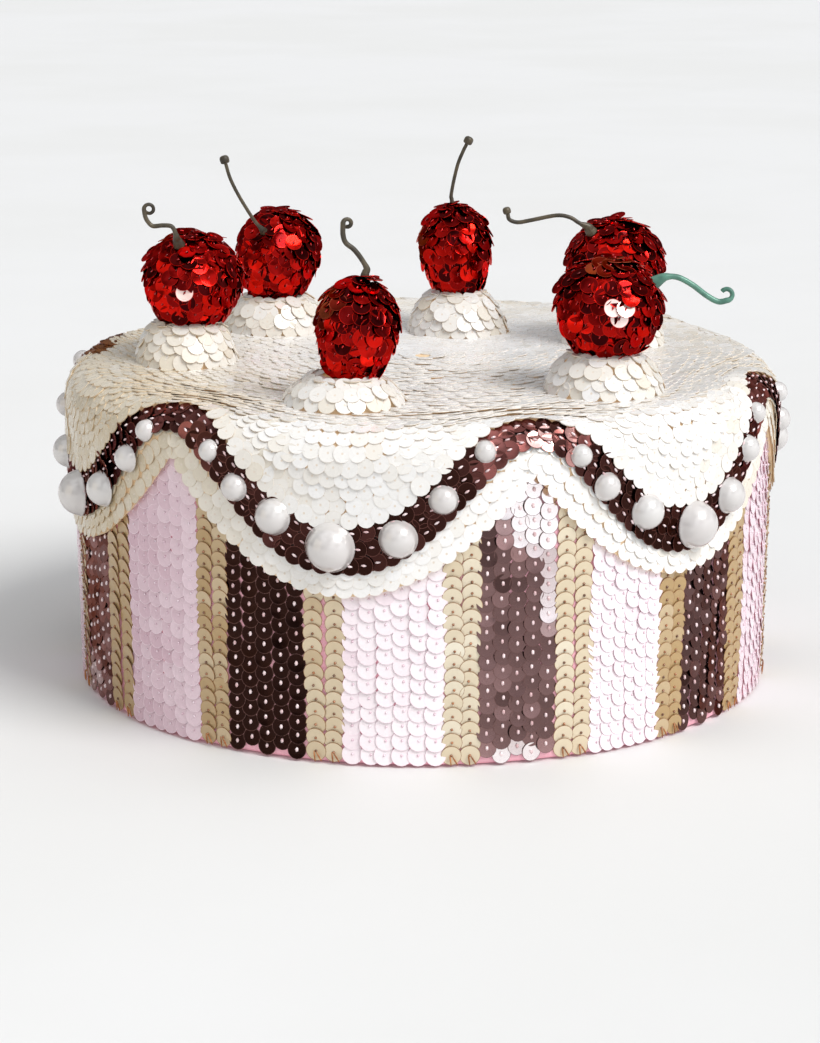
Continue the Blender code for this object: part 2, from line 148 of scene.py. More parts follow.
# Beads that hold the discs: half sizes across the thread, along it and outwards, in millimetres
STRIPE_BEADS = {"pink": (0.34, 0.42, 0.26), "gold": (0.45, 0.42, 0.4), "brown": (0.52, 0.78, 0.46)}
BAND_BEAD = (0.36, 0.9, 0.4)
CHERRY_BEAD = (0.28, 0.72, 0.3)

# Thread ends at the foot of the gold columns: half sizes in millimetres, then the side and lean of each
TAIL_SIZE = (0.24, 1.8, 0.24)
TAILS = ((-0.3, 0.12), (1.2, 0.6))

# Painted shade round the cake, deepest on the left, away from the light: angles, then shares
SHADE_ANGLES = (-102.0, -58.0, -44.0, -30.0, -8.0, 14.0, 45.0, 80.0, 180.0, 258.0)
SHADE_SHARES = (0.95, 0.85, 0.7, 0.25, 0.06, 0.0, 0.12, 0.4, 0.5, 0.95)

# Painted reflections on the brown discs, silvery patches: angle, level, half width in degrees, half height,
# strength
REFLECTION_PATCHES = (
    (17.5, 76.0 * MM, 6.5, 17.0 * MM, 1.0),
    (20.0, 50.0 * MM, 2.4, 14.0 * MM, 0.55),
    (-72.0, 6.0 * MM, 9.0, 9.0 * MM, 0.5),
    (14.5, 1.0 * MM, 7.0, 5.0 * MM, 0.8),
)
# Painted mauve sheen on the brown discs elsewhere: angles, then shares
SHEEN_ANGLES = (-55.0, -35.0, 0.0, 9.0, 20.0, 30.0, 45.0, 80.0)
SHEEN_SHARES = (0.2, 0.03, 0.03, 0.34, 0.3, 0.1, 0.22, 0.3)
# Painted shade on the gold discs, deepest on the sides turned from the light: angles, then tones
GOLD_SHADE_ANGLES = (-60, -25, 0, 14, 30, 45)
GOLD_SHADE_TONES = (0.96, 0.78, 0.36, 0.3, 0.5, 1.0)
# How much of the painted shade round the cake the cream discs take up, by their distance from its middle
FADE_RADII = (30 * MM, 95 * MM)
FADE_SHARES = (0.3, 0.9)
# Painted rosy sheen on the band's discs: angle, half width in degrees, strength
ROSY_SHEEN_PATCHES = (
    (-102.0, 14.0, 0.7), (-41.0, 9.0, 0.7), (16.6, 10.0, 1.3), (-64.0, 8.0, 0.3), (71.0, 11.0, 0.9),
)

# Cherry discs given the amber film, painted light showing through them: the way there from its middle, and
# how near
AMBER_SIDES = {
    1: (-0.5, 0.1, 0.86, 0.93),
    3: (-0.74, -0.3, 0.6, 0.88),
    4: (-0.9, -0.3, 0.3, 0.9),
    6: (-0.1, -0.25, 0.96, 0.93),
}

# Where the rim's discs are brown: the middle angle, half width in degrees, and from and to which radius
BROWN_RIM = (-100.5, 9.5, 94.5 * MM, 101.0 * MM)
BROWN_RIM_ANGLES = (-110, -92)
BROWN_RIM_TONES = (1.0, 0.45)

# Discs of a cherry that face the light, painted white as a highlight: the way there from its middle, and how
# many
GLINTS = {1: (0.02, -0.99, -0.1, 1), 6: (0.2, -0.96, 0.14, 3)}

# Places on the top where a disc is missing and the cloth shows: across, back
BARE_PLACES = (
    (2.0 * MM, -34.9 * MM), (5.0 * MM, -33.6 * MM), (-93.0 * MM, 10.2 * MM), (-30.0 * MM, -60.0 * MM),
)

# The drum's stripes: where each repeat starts, and how wide its pink, gold, brown and gold are, in degrees
REPEAT = 41.1
STRIPE_STARTS = [-52.4, -11.8, 26.6] + [62.3 + REPEAT * turn for turn in range(6)]
STRIPE_SHARES = (0.384, 0.143, 0.318, 0.155)
STRIPE_WIDTHS = {
    0: (15.6, 5.8, 12.9, 6.3),
    1: (15.1, 5.2, 11.9, 6.2),
    2: (12.7, 5.3, 12.2, 5.5),
    8: (15.0, 6.0, 11.2, 7.6),
}
STRIPE_KINDS = ("pink", "gold", "brown", "gold")
STRIPE_COLUMNS = (6, 2, 5, 2)
STRIPE_PITCH = {"pink": 3.8 * MM, "gold": 3.4 * MM, "brown": 3.9 * MM}
STRIPE_STEPS = {"pink": 0.44 * MM, "gold": 0.4 * MM, "brown": 0.36 * MM}
STRIPE_SHAKES = {"pink": 1.0, "gold": 1.0, "brown": 2.2}

# Camera: where it stands, how far it looks down and to the side, and its lens
CAMERA_PLACE = (0.0, -0.850, 0.260)
CAMERA_DOWN = 14.34
CAMERA_ASIDE = 0.257
CAMERA_LENS = 100.06

# The way to the middle of the window light
WINDOW_WAY = (0.53, -0.40, 0.745)


def colour(red, green, blue):
    """A colour as it looks on a screen, 0 to 255, as the linear one that a material takes."""
    shares = [value / 255 for value in (red, green, blue)]
    linear = [share / 12.92 if share <= 0.04045 else ((share + 0.055) / 1.055) ** 2.4 for share in shares]
    return (*linear, 1.0)


def unit(ways):
    return ways / np.linalg.norm(ways, axis=-1, keepdims=True)


# Where things are on the cake


def wrapped_angle(angle):
    return (np.asarray(angle, float) - PEAKS[0]) % 360.0 + PEAKS[0]


def reach_at(angle):
    """How far an angle is from mid scallop, -1 to 1."""
    swag = np.clip(np.searchsorted(PEAKS, angle, side="right") - 1, 0, len(PEAKS) - 2)
    low, high = PEAKS[swag], PEAKS[swag + 1]
    return (2 * angle - low - high) / (high - low)


def padding(reach, up):
    across = np.cos(pi / 2 * reach) ** 2
    along = np.maximum(0.0, 1.0 - abs(up - (COVER_TOP - SHOULDER)) / (1.6 * SHOULDER))
    return FIELD_PADDING * across * along


def scallop_edge(reach):
    return SCALLOP_LOW + SCALLOP_RISE * reach * reach


def band_middle(reach):
    return BAND_LOW + BAND_RISE * abs(np.sin(pi / 2 * reach)) ** BAND_POWER


def band_half_height(reach):
    wave = abs(np.sin(pi / 2 * reach))
    climb = BAND_RISE * BAND_POWER * wave ** (BAND_POWER - 1) * abs(np.cos(pi / 2 * reach)) * pi / 2
    width = BAND_HALF_WIDTH - BAND_NARROWING * wave * wave
    return width * np.sqrt(1.0 + (climb / (radians(30.0) * COVER_RADIUS)) ** 2)


def cover_place(angle, up, lift=0.0):
    """Places on the cover and the way out of it there; up is measured along its surface from the base."""
    angle, up = np.broadcast_arrays(np.asarray(angle, float), np.asarray(up, float))
    turn = np.radians(angle)
    start = COVER_TOP - SHOULDER
    bend = np.clip((up - start) / SHOULDER, 0.0, pi / 2)
    inward = np.maximum(0.0, up - start - SHOULDER * pi / 2)
    outward = lift + padding(reach_at(angle), up)
    radius = np.maximum(COVER_RADIUS - SHOULDER + (SHOULDER + outward) * np.cos(bend) - inward, 0.0)
    level = np.where(up < start, up, start + (SHOULDER + outward) * np.sin(bend))
    place = np.stack([radius * np.sin(turn), -radius * np.cos(turn), level], axis=-1)
    out = np.stack([np.cos(bend) * np.sin(turn), -np.cos(bend) * np.cos(turn), np.sin(bend)], axis=-1)
    return place, out


def row_angles(level, pitch, phase):
    """Angles of discs at even steps along a row right round the cake; level gives its height at an angle."""
    fine = np.linspace(PEAKS[0], PEAKS[-1], 1441)
    places, _ = cover_place(fine, level(fine))
    run = np.concatenate(([0.0], np.cumsum(np.linalg.norm(np.diff(places, axis=0), axis=1))))
    count = max(3, round(run[-1] / pitch))
    return np.interp((np.arange(count) + phase % 1.0) / count * run[-1], run, fine)


def row_places(level, pitch, phase, lift=0.0):
    """Places along a row, with the way out of the cover, the way down across the row and the way along it."""
    angles = row_angles(level, pitch, phase)
    place, out = cover_place(angles, level(angles), lift)
    before, _ = cover_place(angles - 0.2, level(angles - 0.2), lift)
    after, _ = cover_place(angles + 0.2, level(angles + 0.2), lift)
    along = unit(after - before)
    return place, out, -unit(np.cross(out, along)), along


def rosette_middles():
    middles = {}
    for number, facts in ROSETTES.items():
        turn, ring = radians(facts["angle"]), facts["ring"] * MM
        middles[number] = np.array([ring * sin(turn), -ring * cos(turn), COVER_TOP])
    return middles


def cherry_facts(number):
    """The cherry's middle, half width and half height."""
    rosette, cherry = ROSETTES[number], CHERRIES[number]
    turn = radians(rosette["angle"])
    ring = rosette["ring"] * MM
    top = cherry["top"] * MM
    bottom = COVER_TOP + rosette["mound"] * MM - CHERRY_NEST
    middle = Vector((ring * sin(turn) + cherry["shift"] * MM, -ring * cos(turn), (top + bottom) / 2))
    return middle, cherry["width"] * MM / 2, (top - bottom) / 2


def painted_shade_at(places):
    """Painted shade at some places: most on the left, least right of the front, as the light falls from the
    right.
    """
    angles = wrapped_angle(np.degrees(np.arctan2(places[:, 0], -places[:, 1])))
    depth = np.interp(angles, SHADE_ANGLES, SHADE_SHARES)
    return depth * np.clip(np.linalg.norm(places[:, :2], axis=1) / (80 * MM), 0.0, 1.0)


# Making meshes


def taken(bm):
    """A form's points and faces, read from a bmesh that isn't needed any more."""
    bm.verts.index_update()
    points = np.array([vert.co for vert in bm.verts])
    faces = [[vert.index for vert in face.verts] for face in bm.faces]
    bm.free()
    return points, faces


def disc_form(sides, dish):
    """A disc of radius 1 and thickness 1 whose middle is sunk by dish; the finishes read its flat shape."""
    bm = bmesh.new()
    bmesh.ops.create_cone(
        bm, cap_ends=True, cap_tris=True, segments=sides, radius1=1.0, radius2=1.0, depth=1.0,
    )
    flat, faces = taken(bm)
    middle = np.linalg.norm(flat[:, :2], axis=1) < 0.5
    return flat - np.outer(middle, (0.0, 0.0, dish)), faces, flat


def bead_form():
    bm = bmesh.new()
    bmesh.ops.create_icosphere(bm, subdivisions=1, radius=1.0)
    points, faces = taken(bm)
    return points, faces, points


def half_pearl_form(sides, rings):
    """A dome with a thin lip round its flat back, radius 1 and height 1."""
    lip = 0.07
    profile = [(1.0, 0.0), (1.0, lip), (0.965, lip * 1.6)]
    for ring in range(1, rings):
        rise = pi / 2 * (0.07 + 0.93 * ring / rings)
        profile.append((0.955 * cos(rise), sin(rise)))
    bm = bmesh.new()
    rows = []
    for radius, height in profile:
        turns = [2 * pi * side / sides for side in range(sides)]
        rows.append([bm.verts.new((radius * cos(turn), radius * sin(turn), height)) for turn in turns])
    for low, high in zip(rows, rows[1:]):
        for side in range(sides):
            after = (side + 1) % sides
            bm.faces.new((low[side], low[after], high[after], high[side]))
    top = bm.verts.new((0.0, 0.0, 1.0))
    for side in range(sides):
        bm.faces.new((rows[-1][side], rows[-1][(side + 1) % sides], top))
    bm.faces.new(list(reversed(rows[0])))
    points, faces = taken(bm)
    return points, faces, points


def finished(mesh, name, finish, nodes=(), sharp=40.0):
    """Give a mesh its finish, and let it ride on the cake in place of the named nodes."""
    mesh.materials.append(finish)
    mesh.shade_smooth()
    if sharp:
        mesh.set_sharp_from_angle(angle=radians(sharp))
    piece = bpy.data.objects.new(name, mesh)
    bpy.context.scene.collection.objects.link(piece)
    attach(piece, "root")
    if nodes:
        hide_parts(*nodes)


class Sewing:
    """Gathers the places of one kind of small piece, then joins all its copies into one mesh."""

    def __init__(self, form):
        self.form = form
        self.batches = []

    def add(self, centres, frames, sizes, tones):
        sizes = np.broadcast_to(np.asarray(sizes, float), (len(centres), 3))
        self.batches.append((centres, frames, sizes, tones))

    def joined(self, name):
        centres, frames, sizes, tones = (np.concatenate(part) for part in zip(*self.batches))
        points, faces, flat = self.form
        count = len(centres)
        placed = np.einsum("nij,nvj->nvi", frames, sizes[:, None, :] * points[None]) + centres[:, None, :]
        corners = np.concatenate(faces)
        sides = np.tile([len(face) for face in faces], count)
        mesh = bpy.data.meshes.new(name)
        mesh.vertices.add(count * len(points))
        mesh.vertices.foreach_set("co", placed.astype(np.float32).ravel())
        mesh.loops.add(count * len(corners))
        numbers = corners[None] + np.arange(count)[:, None] * len(points)
        mesh.loops.foreach_set("vertex_index", numbers.astype(np.int32).ravel())
        mesh.polygons.add(len(sides))
        starts = np.concatenate(([0], np.cumsum(sides)[:-1]))
        mesh.polygons.foreach_set("loop_start", starts.astype(np.int32))
        mesh.update(calc_edges=True)
        tone = mesh.attributes.new("tone", "FLOAT", "POINT")
        tone.data.foreach_set("value", np.repeat(tones, len(points)).astype(np.float32))
        on_disc = mesh.attributes.new("on_disc", "FLOAT_VECTOR", "POINT")
        on_disc.data.foreach_set("vector", np.tile(flat, (count, 1)).astype(np.float32).ravel())
        return mesh

    def sewn_on(self, name, finish, slot, nodes=(), sharp=40.0):
        finished(self.joined(name), name, finish, nodes, sharp)


def tiled(places, outs, prouds, draws, tilt, roll=2.5, shake=2.0, width=DISC, lift=0.1 * MM):
    """Centres and frames of discs that lie like tiles, each raised at its proud edge by the tilt."""
    count = len(places)
    outs = unit(outs)
    prouds = unit(prouds - outs * np.sum(prouds * outs, axis=1, keepdims=True))
    across = np.cross(prouds, outs)
    tip = np.radians(tilt + shake * draws.standard_normal(count))[:, None]
    lean = np.radians(roll + shake * draws.standard_normal(count))[:, None]
    along = prouds * np.cos(tip) + outs * np.sin(tip)
    face = outs * np.cos(tip) - prouds * np.sin(tip)
    side = across * np.cos(lean) + face * np.sin(lean)
    face = face * np.cos(lean) - across * np.sin(lean)
    rise = width / 2 * (abs(np.sin(tip)) + abs(np.sin(lean)))
    return places + outs * (lift + rise), np.stack([side, along, face], axis=2)


def bead_places(centres, frames, threads, clear):
    """Beads on the middles of discs, their long axis along the thread."""
    face = frames[:, :, 2]
    along = unit(threads - face * np.sum(threads * face, axis=1, keepdims=True))
    return centres + face * clear, np.stack([np.cross(along, face), along, face], axis=2)


def ring_skin(name, rows):
    """A closed skin through rings of points; a ring of radius nought closes to a point."""
    rows = np.asarray(rows)
    levels, columns = rows.shape[:2]
    bm = bmesh.new()
    verts = [bm.verts.new(point) for point in rows.reshape(-1, 3)]
    for level in range(levels - 1):
        for column in range(columns):
            after = (column + 1) % columns
            low, high = level * columns, (level + 1) * columns
            bm.faces.new((verts[low + column], verts[low + after], verts[high + after], verts[high + column]))
    bmesh.ops.remove_doubles(bm, verts=bm.verts, dist=0.000002)
    bmesh.ops.recalc_face_normals(bm, faces=bm.faces)
    mesh = bpy.data.meshes.new(name)
    bm.to_mesh(mesh)
    bm.free()
    return mesh


def turned_rings(profile, columns, middle=(0.0, 0.0, 0.0)):
    """Rings of points for a profile of (radius, height) turned about an upright axis."""
    turns = np.linspace(0.0, 2 * pi, columns, endpoint=False)
    rings = []
    for radius, height in profile:
        ring = np.stack([radius * np.sin(turns), -radius * np.cos(turns), np.full(columns, height)], axis=-1)
        rings.append(ring + np.asarray(middle))
    return rings


# Finishes


def new_group(name, inputs, outputs):
    group = bpy.data.node_groups.new(name, "ShaderNodeTree")
    for label, kind, value in inputs:
        socket = group.interface.new_socket(name=label, in_out="INPUT", socket_type=kind)
        if value is not None:
            socket.default_value = value
    for label, kind in outputs:
        group.interface.new_socket(name=label, in_out="OUTPUT", socket_type=kind)
    return group, group.nodes.new("NodeGroupInput"), group.nodes.new("NodeGroupOutput")


def math_node(nodes, links, operation, first, second=None, third=None):
    node = nodes.new("ShaderNodeMath")
    node.operation = operation
    for slot, value in enumerate((first, second, third)):
        if value is None:
            continue
        if isinstance(value, (int, float)):
            node.inputs[slot].default_value = value
        else:
            links.new(value, node.inputs[slot])
    return node.outputs[0]


def mixed(nodes, links, share, first, second):
    node = nodes.new("ShaderNodeMix")
    node.data_type = "RGBA"
    for socket, value in ((node.inputs[0], share), (node.inputs[6], first), (node.inputs[7], second)):
        if isinstance(value, (int, float, tuple)):
            socket.default_value = value
        else:
            links.new(value, socket)
    return node.outputs[2]


def spread_between(nodes, links, value, low, high, low_to=0.0, high_to=1.0):
    node = nodes.new("ShaderNodeMapRange")
    node.interpolation_type = "SMOOTHSTEP"
    links.new(value, node.inputs["Value"])
    for label, number in (("From Min", low), ("From Max", high), ("To Min", low_to), ("To Max", high_to)):
        node.inputs[label].default_value = number
    return node.outputs["Result"]


def noise(nodes, links, scale, detail, space="Object"):
    place = nodes.new("ShaderNodeTexCoord")
    texture = nodes.new("ShaderNodeTexNoise")
    texture.inputs["Scale"].default_value = scale
    texture.inputs["Detail"].default_value = detail
    links.new(place.outputs[space], texture.inputs["Vector"])
    return texture.outputs["Fac"]


def make_film_group():
    """Shared by all discs: each one's own tone, which also carries painted shade and sheen, a rim that is
    partly the film's cut edge and partly painted light and shade along it, a stitch hole, a back painted
    deeper as shade under the discs, and fine scuffs.
    """
    group, source, result = new_group(
        "sewn_film",
        [
            ("Pale", "NodeSocketColor", (0.8, 0.8, 0.8, 1.0)),
            ("Middle", "NodeSocketColor", (0.6, 0.6, 0.6, 1.0)),
            ("Deep", "NodeSocketColor", (0.5, 0.5, 0.5, 1.0)),
            ("Rim", "NodeSocketColor", (0.9, 0.9, 0.9, 1.0)),
            ("Back", "NodeSocketColor", (0.4, 0.3, 0.2, 1.0)),
            ("Hole", "NodeSocketColor", (0.2, 0.15, 0.1, 1.0)),
            ("Edge", "NodeSocketFloat", 1.0),
            ("Smooth", "NodeSocketFloat", 0.2),
            ("Scuffed", "NodeSocketFloat", 0.4),
        ],
        [("Color", "NodeSocketColor"), ("Roughness", "NodeSocketFloat"), ("Height", "NodeSocketFloat")],
    )
    nodes, links = group.nodes, group.links
    tone = nodes.new("ShaderNodeAttribute")
    tone.attribute_name = "tone"
    on_disc = nodes.new("ShaderNodeAttribute")
    on_disc.attribute_name = "on_disc"
    split = nodes.new("ShaderNodeSeparateXYZ")
    links.new(on_disc.outputs["Vector"], split.inputs[0])
    across = math_node(nodes, links, "MULTIPLY", split.outputs[0], split.outputs[0])
    both = math_node(nodes, links, "MULTIPLY_ADD", split.outputs[1], split.outputs[1], across)
    radius = math_node(nodes, links, "SQRT", both)
    first = spread_between(nodes, links, tone.outputs["Fac"], 0.0, 0.5)
    second = spread_between(nodes, links, tone.outputs["Fac"], 0.5, 1.0)
    paler = mixed(nodes, links, first, source.outputs["Pale"], source.outputs["Middle"])
    body = mixed(nodes, links, second, paler, source.outputs["Deep"])
    rim = spread_between(nodes, links, radius, 0.91, 0.985)
    # Rims show more on deeper tones, so the rims' painted light and shade grow where the tones carry more
    # painted shade
    deeper = math_node(nodes, links, "MAXIMUM", tone.outputs["Fac"], source.outputs["Edge"])
    edged = math_node(nodes, links, "MULTIPLY", rim, deeper)
    rimmed = mixed(nodes, links, edged, body, source.outputs["Rim"])
    hole = spread_between(nodes, links, radius, 0.09, 0.16, 1.0, 0.0)
    holed = mixed(nodes, links, hole, rimmed, source.outputs["Hole"])
    # Painted shade: a disc's underside takes the Back colour, standing in for the shade beneath the discs
    back = spread_between(nodes, links, split.outputs[2], -0.48, -0.30, 1.0, 0.0)
    backed = mixed(nodes, links, back, holed, source.outputs["Back"])
    links.new(backed, result.inputs["Color"])
    scuffs = noise(nodes, links, 420.0, 3.0)
    share = spread_between(nodes, links, scuffs, 0.42, 0.68)
    gloss = nodes.new("ShaderNodeMix")
    links.new(share, gloss.inputs[0])
    links.new(source.outputs["Smooth"], gloss.inputs[2])
    links.new(source.outputs["Scuffed"], gloss.inputs[3])
    links.new(gloss.outputs[0], result.inputs["Roughness"])
    dip = math_node(nodes, links, "MULTIPLY", hole, -1.0)
    height = math_node(nodes, links, "MULTIPLY_ADD", scuffs, 0.15, dip)
    links.new(height, result.inputs["Height"])
    return group


def make_weave_group():
    """Shared by the cloths under the discs: two crossing sets of threads, and uneven dye."""
    group, source, result = new_group(
        "plain_weave",
        [
            ("Thread", "NodeSocketColor", (0.8, 0.8, 0.8, 1.0)),
            ("Shade", "NodeSocketColor", (0.5, 0.5, 0.5, 1.0)),
            ("Count", "NodeSocketFloat", 900.0),
        ],
        [("Color", "NodeSocketColor"), ("Height", "NodeSocketFloat")],
    )
    nodes, links = group.nodes, group.links
    place = nodes.new("ShaderNodeTexCoord")
    sets = []
    for direction in ("X", "Z"):
        wave = nodes.new("ShaderNodeTexWave")
        wave.bands_direction = direction
        wave.inputs["Distortion"].default_value = 1.5
        links.new(source.outputs["Count"], wave.inputs["Scale"])
        links.new(place.outputs["Object"], wave.inputs["Vector"])
        sets.append(wave.outputs["Fac"])
    threads = math_node(nodes, links, "MULTIPLY", sets[0], sets[1])
    share = math_node(nodes, links, "MULTIPLY", threads, noise(nodes, links, 60.0, 2.0))
    dyed = mixed(nodes, links, share, source.outputs["Shade"], source.outputs["Thread"])
    links.new(dyed, result.inputs["Color"])
    links.new(threads, result.inputs["Height"])
    return group


def new_finish(name):
    material = bpy.data.materials.new(name)
    material.use_nodes = True
    nodes = material.node_tree.nodes
    return material, nodes, material.node_tree.links, nodes["Principled BSDF"]


def with_group(nodes, group, values):
    node = nodes.new("ShaderNodeGroup")
    node.node_tree = group
    for label, value in values.items():
        node.inputs[label].default_value = value
    return node


def bumped(nodes, links, height, shader, strength, distance):
    bump = nodes.new("ShaderNodeBump")
    bump.inputs["Strength"].default_value = strength
    bump.inputs["Distance"].default_value = distance
    links.new(height, bump.inputs["Height"])
    links.new(bump.outputs["Normal"], shader.inputs["Normal"])


def film_finish(name, group, colours, smooth, scuffed, edge=1.0, **settings):
    """A film for discs: its pale, middle and deep body colours, its rim, its back and its hole."""
    material, nodes, links, shader = new_finish(name)
    values = {"Edge": edge, "Smooth": smooth, "Scuffed": scuffed}
    for label, value in zip(("Pale", "Middle", "Deep", "Rim", "Back", "Hole"), colours):
        values[label] = colour(*value)
    film = with_group(nodes, group, values)
    links.new(film.outputs["Color"], shader.inputs["Base Color"])
    links.new(film.outputs["Roughness"], shader.inputs["Roughness"])
    bumped(nodes, links, film.outputs["Height"], shader, 0.25, 0.05 * MM)
    for label, value in settings.items():
        shader.inputs[label.replace("_", " ")].default_value = value
    return material


def cloth_finish(name, group, thread, shade, painted_glow=0.0):
    """Woven cloth, with a painted glow: an emission in its own colours, standing in for the light it would
    let through from behind.
    """
    material, nodes, links, shader = new_finish(name)
    values = {"Thread": colour(*thread), "Shade": colour(*shade), "Count": 900.0}
    weave = with_group(nodes, group, values)
    links.new(weave.outputs["Color"], shader.inputs["Base Color"])
    shader.inputs["Roughness"].default_value = 0.75
    # Painted light: the cloth glows in its own colours, though no lamp is behind it
    if painted_glow:
        links.new(weave.outputs["Color"], shader.inputs["Emission Color"])
        shader.inputs["Emission Strength"].default_value = painted_glow
    bumped(nodes, links, weave.outputs["Height"], shader, 0.5, 0.15 * MM)
    return material


def mottled_finish(name, pale, deep, scale, low_rough, high_rough, bump, **settings):
    """A finish for smooth pieces: two tones in a soft mottle, with uneven gloss."""
    material, nodes, links, shader = new_finish(name)
    mottle = noise(nodes, links, scale, 4.0)
    share = spread_between(nodes, links, mottle, 0.35, 0.65)
    links.new(mixed(nodes, links, share, colour(*pale), colour(*deep)), shader.inputs["Base Color"])
    rough = spread_between(nodes, links, mottle, 0.3, 0.7, low_rough, high_rough)
    links.new(rough, shader.inputs["Roughness"])
    bumped(nodes, links, mottle, shader, 0.3, bump)
    for label, value in settings.items():
        shader.inputs[label.replace("_", " ")].default_value = value
    return material


def rosy_edged(material, edge):
    """Tints a finish towards the edges, where a pearl mirrors what it sits on."""
    nodes, links = material.node_tree.nodes, material.node_tree.links
    base = nodes["Principled BSDF"].inputs["Base Color"]
    body = base.links[0].from_socket
    weight = nodes.new("ShaderNodeLayerWeight")
    weight.inputs["Blend"].default_value = 0.3
    share = spread_between(nodes, links, weight.outputs["Facing"], 0.35, 0.95, 0.0, 0.8)
    links.new(mixed(nodes, links, share, body, colour(*edge)), base)


def make_finishes():
    film = make_film_group()
    weave = make_weave_group()

    # Colours of each film: pale, middle, deep, rim, back and hole
    # Cream: the middle and deep tones are painted warm shade, the tan rim is partly the film's edge and
    # partly painted shade, and the back is painted amber shade
    cream_rest = ((212, 201, 180), (192, 172, 134), (202, 172, 130), (232, 206, 168), (218, 206, 192))
    ivory = ((230, 229, 228), *cream_rest)
    # Painted light: a lighter copy of the cream film for the border discs, which fall in more shade
    brightened_edging = ((240, 239, 238), *cream_rest)
    # Gold: the deep tone is painted shade, and the dark rim is partly painted shadow under each proud edge
    gold = ((240, 235, 218), (217, 201, 172), (178, 148, 102), (146, 100, 58), (150, 108, 60), (120, 76, 44))
    # Pink: the deep tone is painted shade, and the pale rim is partly a painted highlight along each edge
    pink = (
        (242, 232, 236), (224, 200, 210), (203, 167, 181), (242, 222, 231), (232, 180, 196), (214, 184, 194),
    )
    # Brown: the pale colour is a painted silvery reflection and the middle a painted mauve sheen; the deep
    # colour is the foil's own
    brown = ((250, 242, 244), (160, 126, 125), (40, 20, 15), (112, 82, 78), (40, 18, 16), (26, 12, 10))
    # Band: the pale rosy colour is a painted sheen; the deep colour is the foil's own
    rosy = ((242, 198, 192), (152, 92, 88), (42, 20, 15), (114, 74, 68), (60, 24, 20), (26, 12, 10))
    copper = ((214, 160, 96), (168, 112, 62), (58, 30, 22), (120, 76, 48), (80, 44, 24), (30, 16, 12))
    # Red: the cherries' tones also carry painted light, paler low on each cherry
    red = ((208, 20, 8), (142, 8, 6), (52, 0, 2), (190, 28, 18), (100, 4, 4), (60, 0, 2))
    # Amber: painted light showing through the cherries' thin red discs
    amber = ((176, 84, 52), (148, 56, 34), (112, 28, 18), (180, 84, 60), (100, 26, 12), (80, 18, 10))
    # White: a painted highlight on the glint discs
    white = ((255, 246, 240), (255, 230, 222), (255, 214, 204), (230, 90, 80), (100, 4, 4), (160, 40, 36))

    # What each film's gloss is made of
    satin = dict(edge=0.18, Coat_Weight=0.3, Coat_Roughness=0.15)
    gilt = dict(Metallic=0.12, Coat_Weight=0.2, Coat_Roughness=0.2)
    brown_sheen = colour(200, 160, 150)
    dark_foil = dict(Metallic=0.95, Coat_Weight=0.05, Specular_Tint=brown_sheen)
    copper_foil = dict(Metallic=0.8, Coat_Weight=0.1, Specular_Tint=brown_sheen)
    red_foil = dict(Metallic=1.0, Coat_Weight=0.06, Specular_Tint=colour(250, 110, 90))
    amber_foil = dict(Metallic=1.0, Specular_Tint=colour(210, 140, 110))
    films = {
        "cream": ("cream_film", ivory, 0.26, 0.42, satin),
        "brightened_edging": ("brightened_edging_film", brightened_edging, 0.26, 0.42, satin),
        "gold": ("gold_film", gold, 0.3, 0.46, gilt),
        "pink": ("pink_film", pink, 0.22, 0.38, dict(Coat_Weight=0.4, Coat_Roughness=0.15)),
        "brown": ("brown_film", brown, 0.14, 0.3, dark_foil),
        "rosy": ("band_film", rosy, 0.14, 0.3, dark_foil),
        "copper": ("copper_film", copper, 0.2, 0.34, copper_foil),
        "red": ("cherry_film", red, 0.1, 0.24, red_foil),
        "amber": ("amber_film", amber, 0.18, 0.3, amber_foil),
        "glint": ("glint_film", white, 0.15, 0.3, dict(Metallic=0.3, Coat_Weight=1.0, Coat_Roughness=0.05)),
    }
    finishes = {}
    for kind, (name, colours, smooth, scuffed, gloss) in films.items():
        finishes[kind] = film_finish(name, film, colours, smooth, scuffed, **gloss)

    # Smooth pieces: two tones, the mottle's scale, the gloss from and to, how deep the mottle is
    mottled = {
        "brown_bead": ("rosy_bead", (246, 226, 228), (206, 168, 170), 300.0, 0.06, 0.16, 0.02),
        "gold_bead": ("copper_bead", (170, 112, 72), (92, 52, 28), 300.0, 0.08, 0.2, 0.02),
        "pink_bead": ("clear_bead", (240, 224, 232), (222, 192, 204), 300.0, 0.1, 0.2, 0.02),
        "red_bead": ("red_bead", (220, 26, 26), (110, 2, 6), 300.0, 0.08, 0.16, 0.02),
        "pearl": ("half_pearl", (213, 210, 208), (208, 203, 201), 60.0, 0.2, 0.24, 0.005),
        "wire": ("stem_wire", (88, 78, 60), (56, 50, 40), 260.0, 0.3, 0.5, 0.05),
        "teal_wire": ("teal_wire", (92, 140, 122), (66, 108, 94), 260.0, 0.25, 0.45, 0.05),
        "thread": ("copper_thread", (184, 118, 62), (140, 82, 40), 400.0, 0.4, 0.6, 0.02),
    }
    glosses = {
        "brown_bead": dict(Coat_Weight=1.0),
        "gold_bead": dict(Coat_Weight=0.8),
        "pink_bead": dict(Coat_Weight=0.6),
        "red_bead": dict(Metallic=0.6, Coat_Weight=0.5),
        "pearl": dict(Metallic=0.2, Coat_Weight=1.0, Coat_Roughness=0.04),
        "wire": dict(Metallic=0.2),
        "teal_wire": dict(Metallic=0.1),
        "thread": {},
    }
    for kind, (name, pale, deep, scale, smooth, rough, bump) in mottled.items():
        finishes[kind] = mottled_finish(
            name, pale, deep, scale, smooth, rough, bump * MM, **glosses[kind],
        )
    rosy_edged(finishes["pearl"], (188, 158, 150))

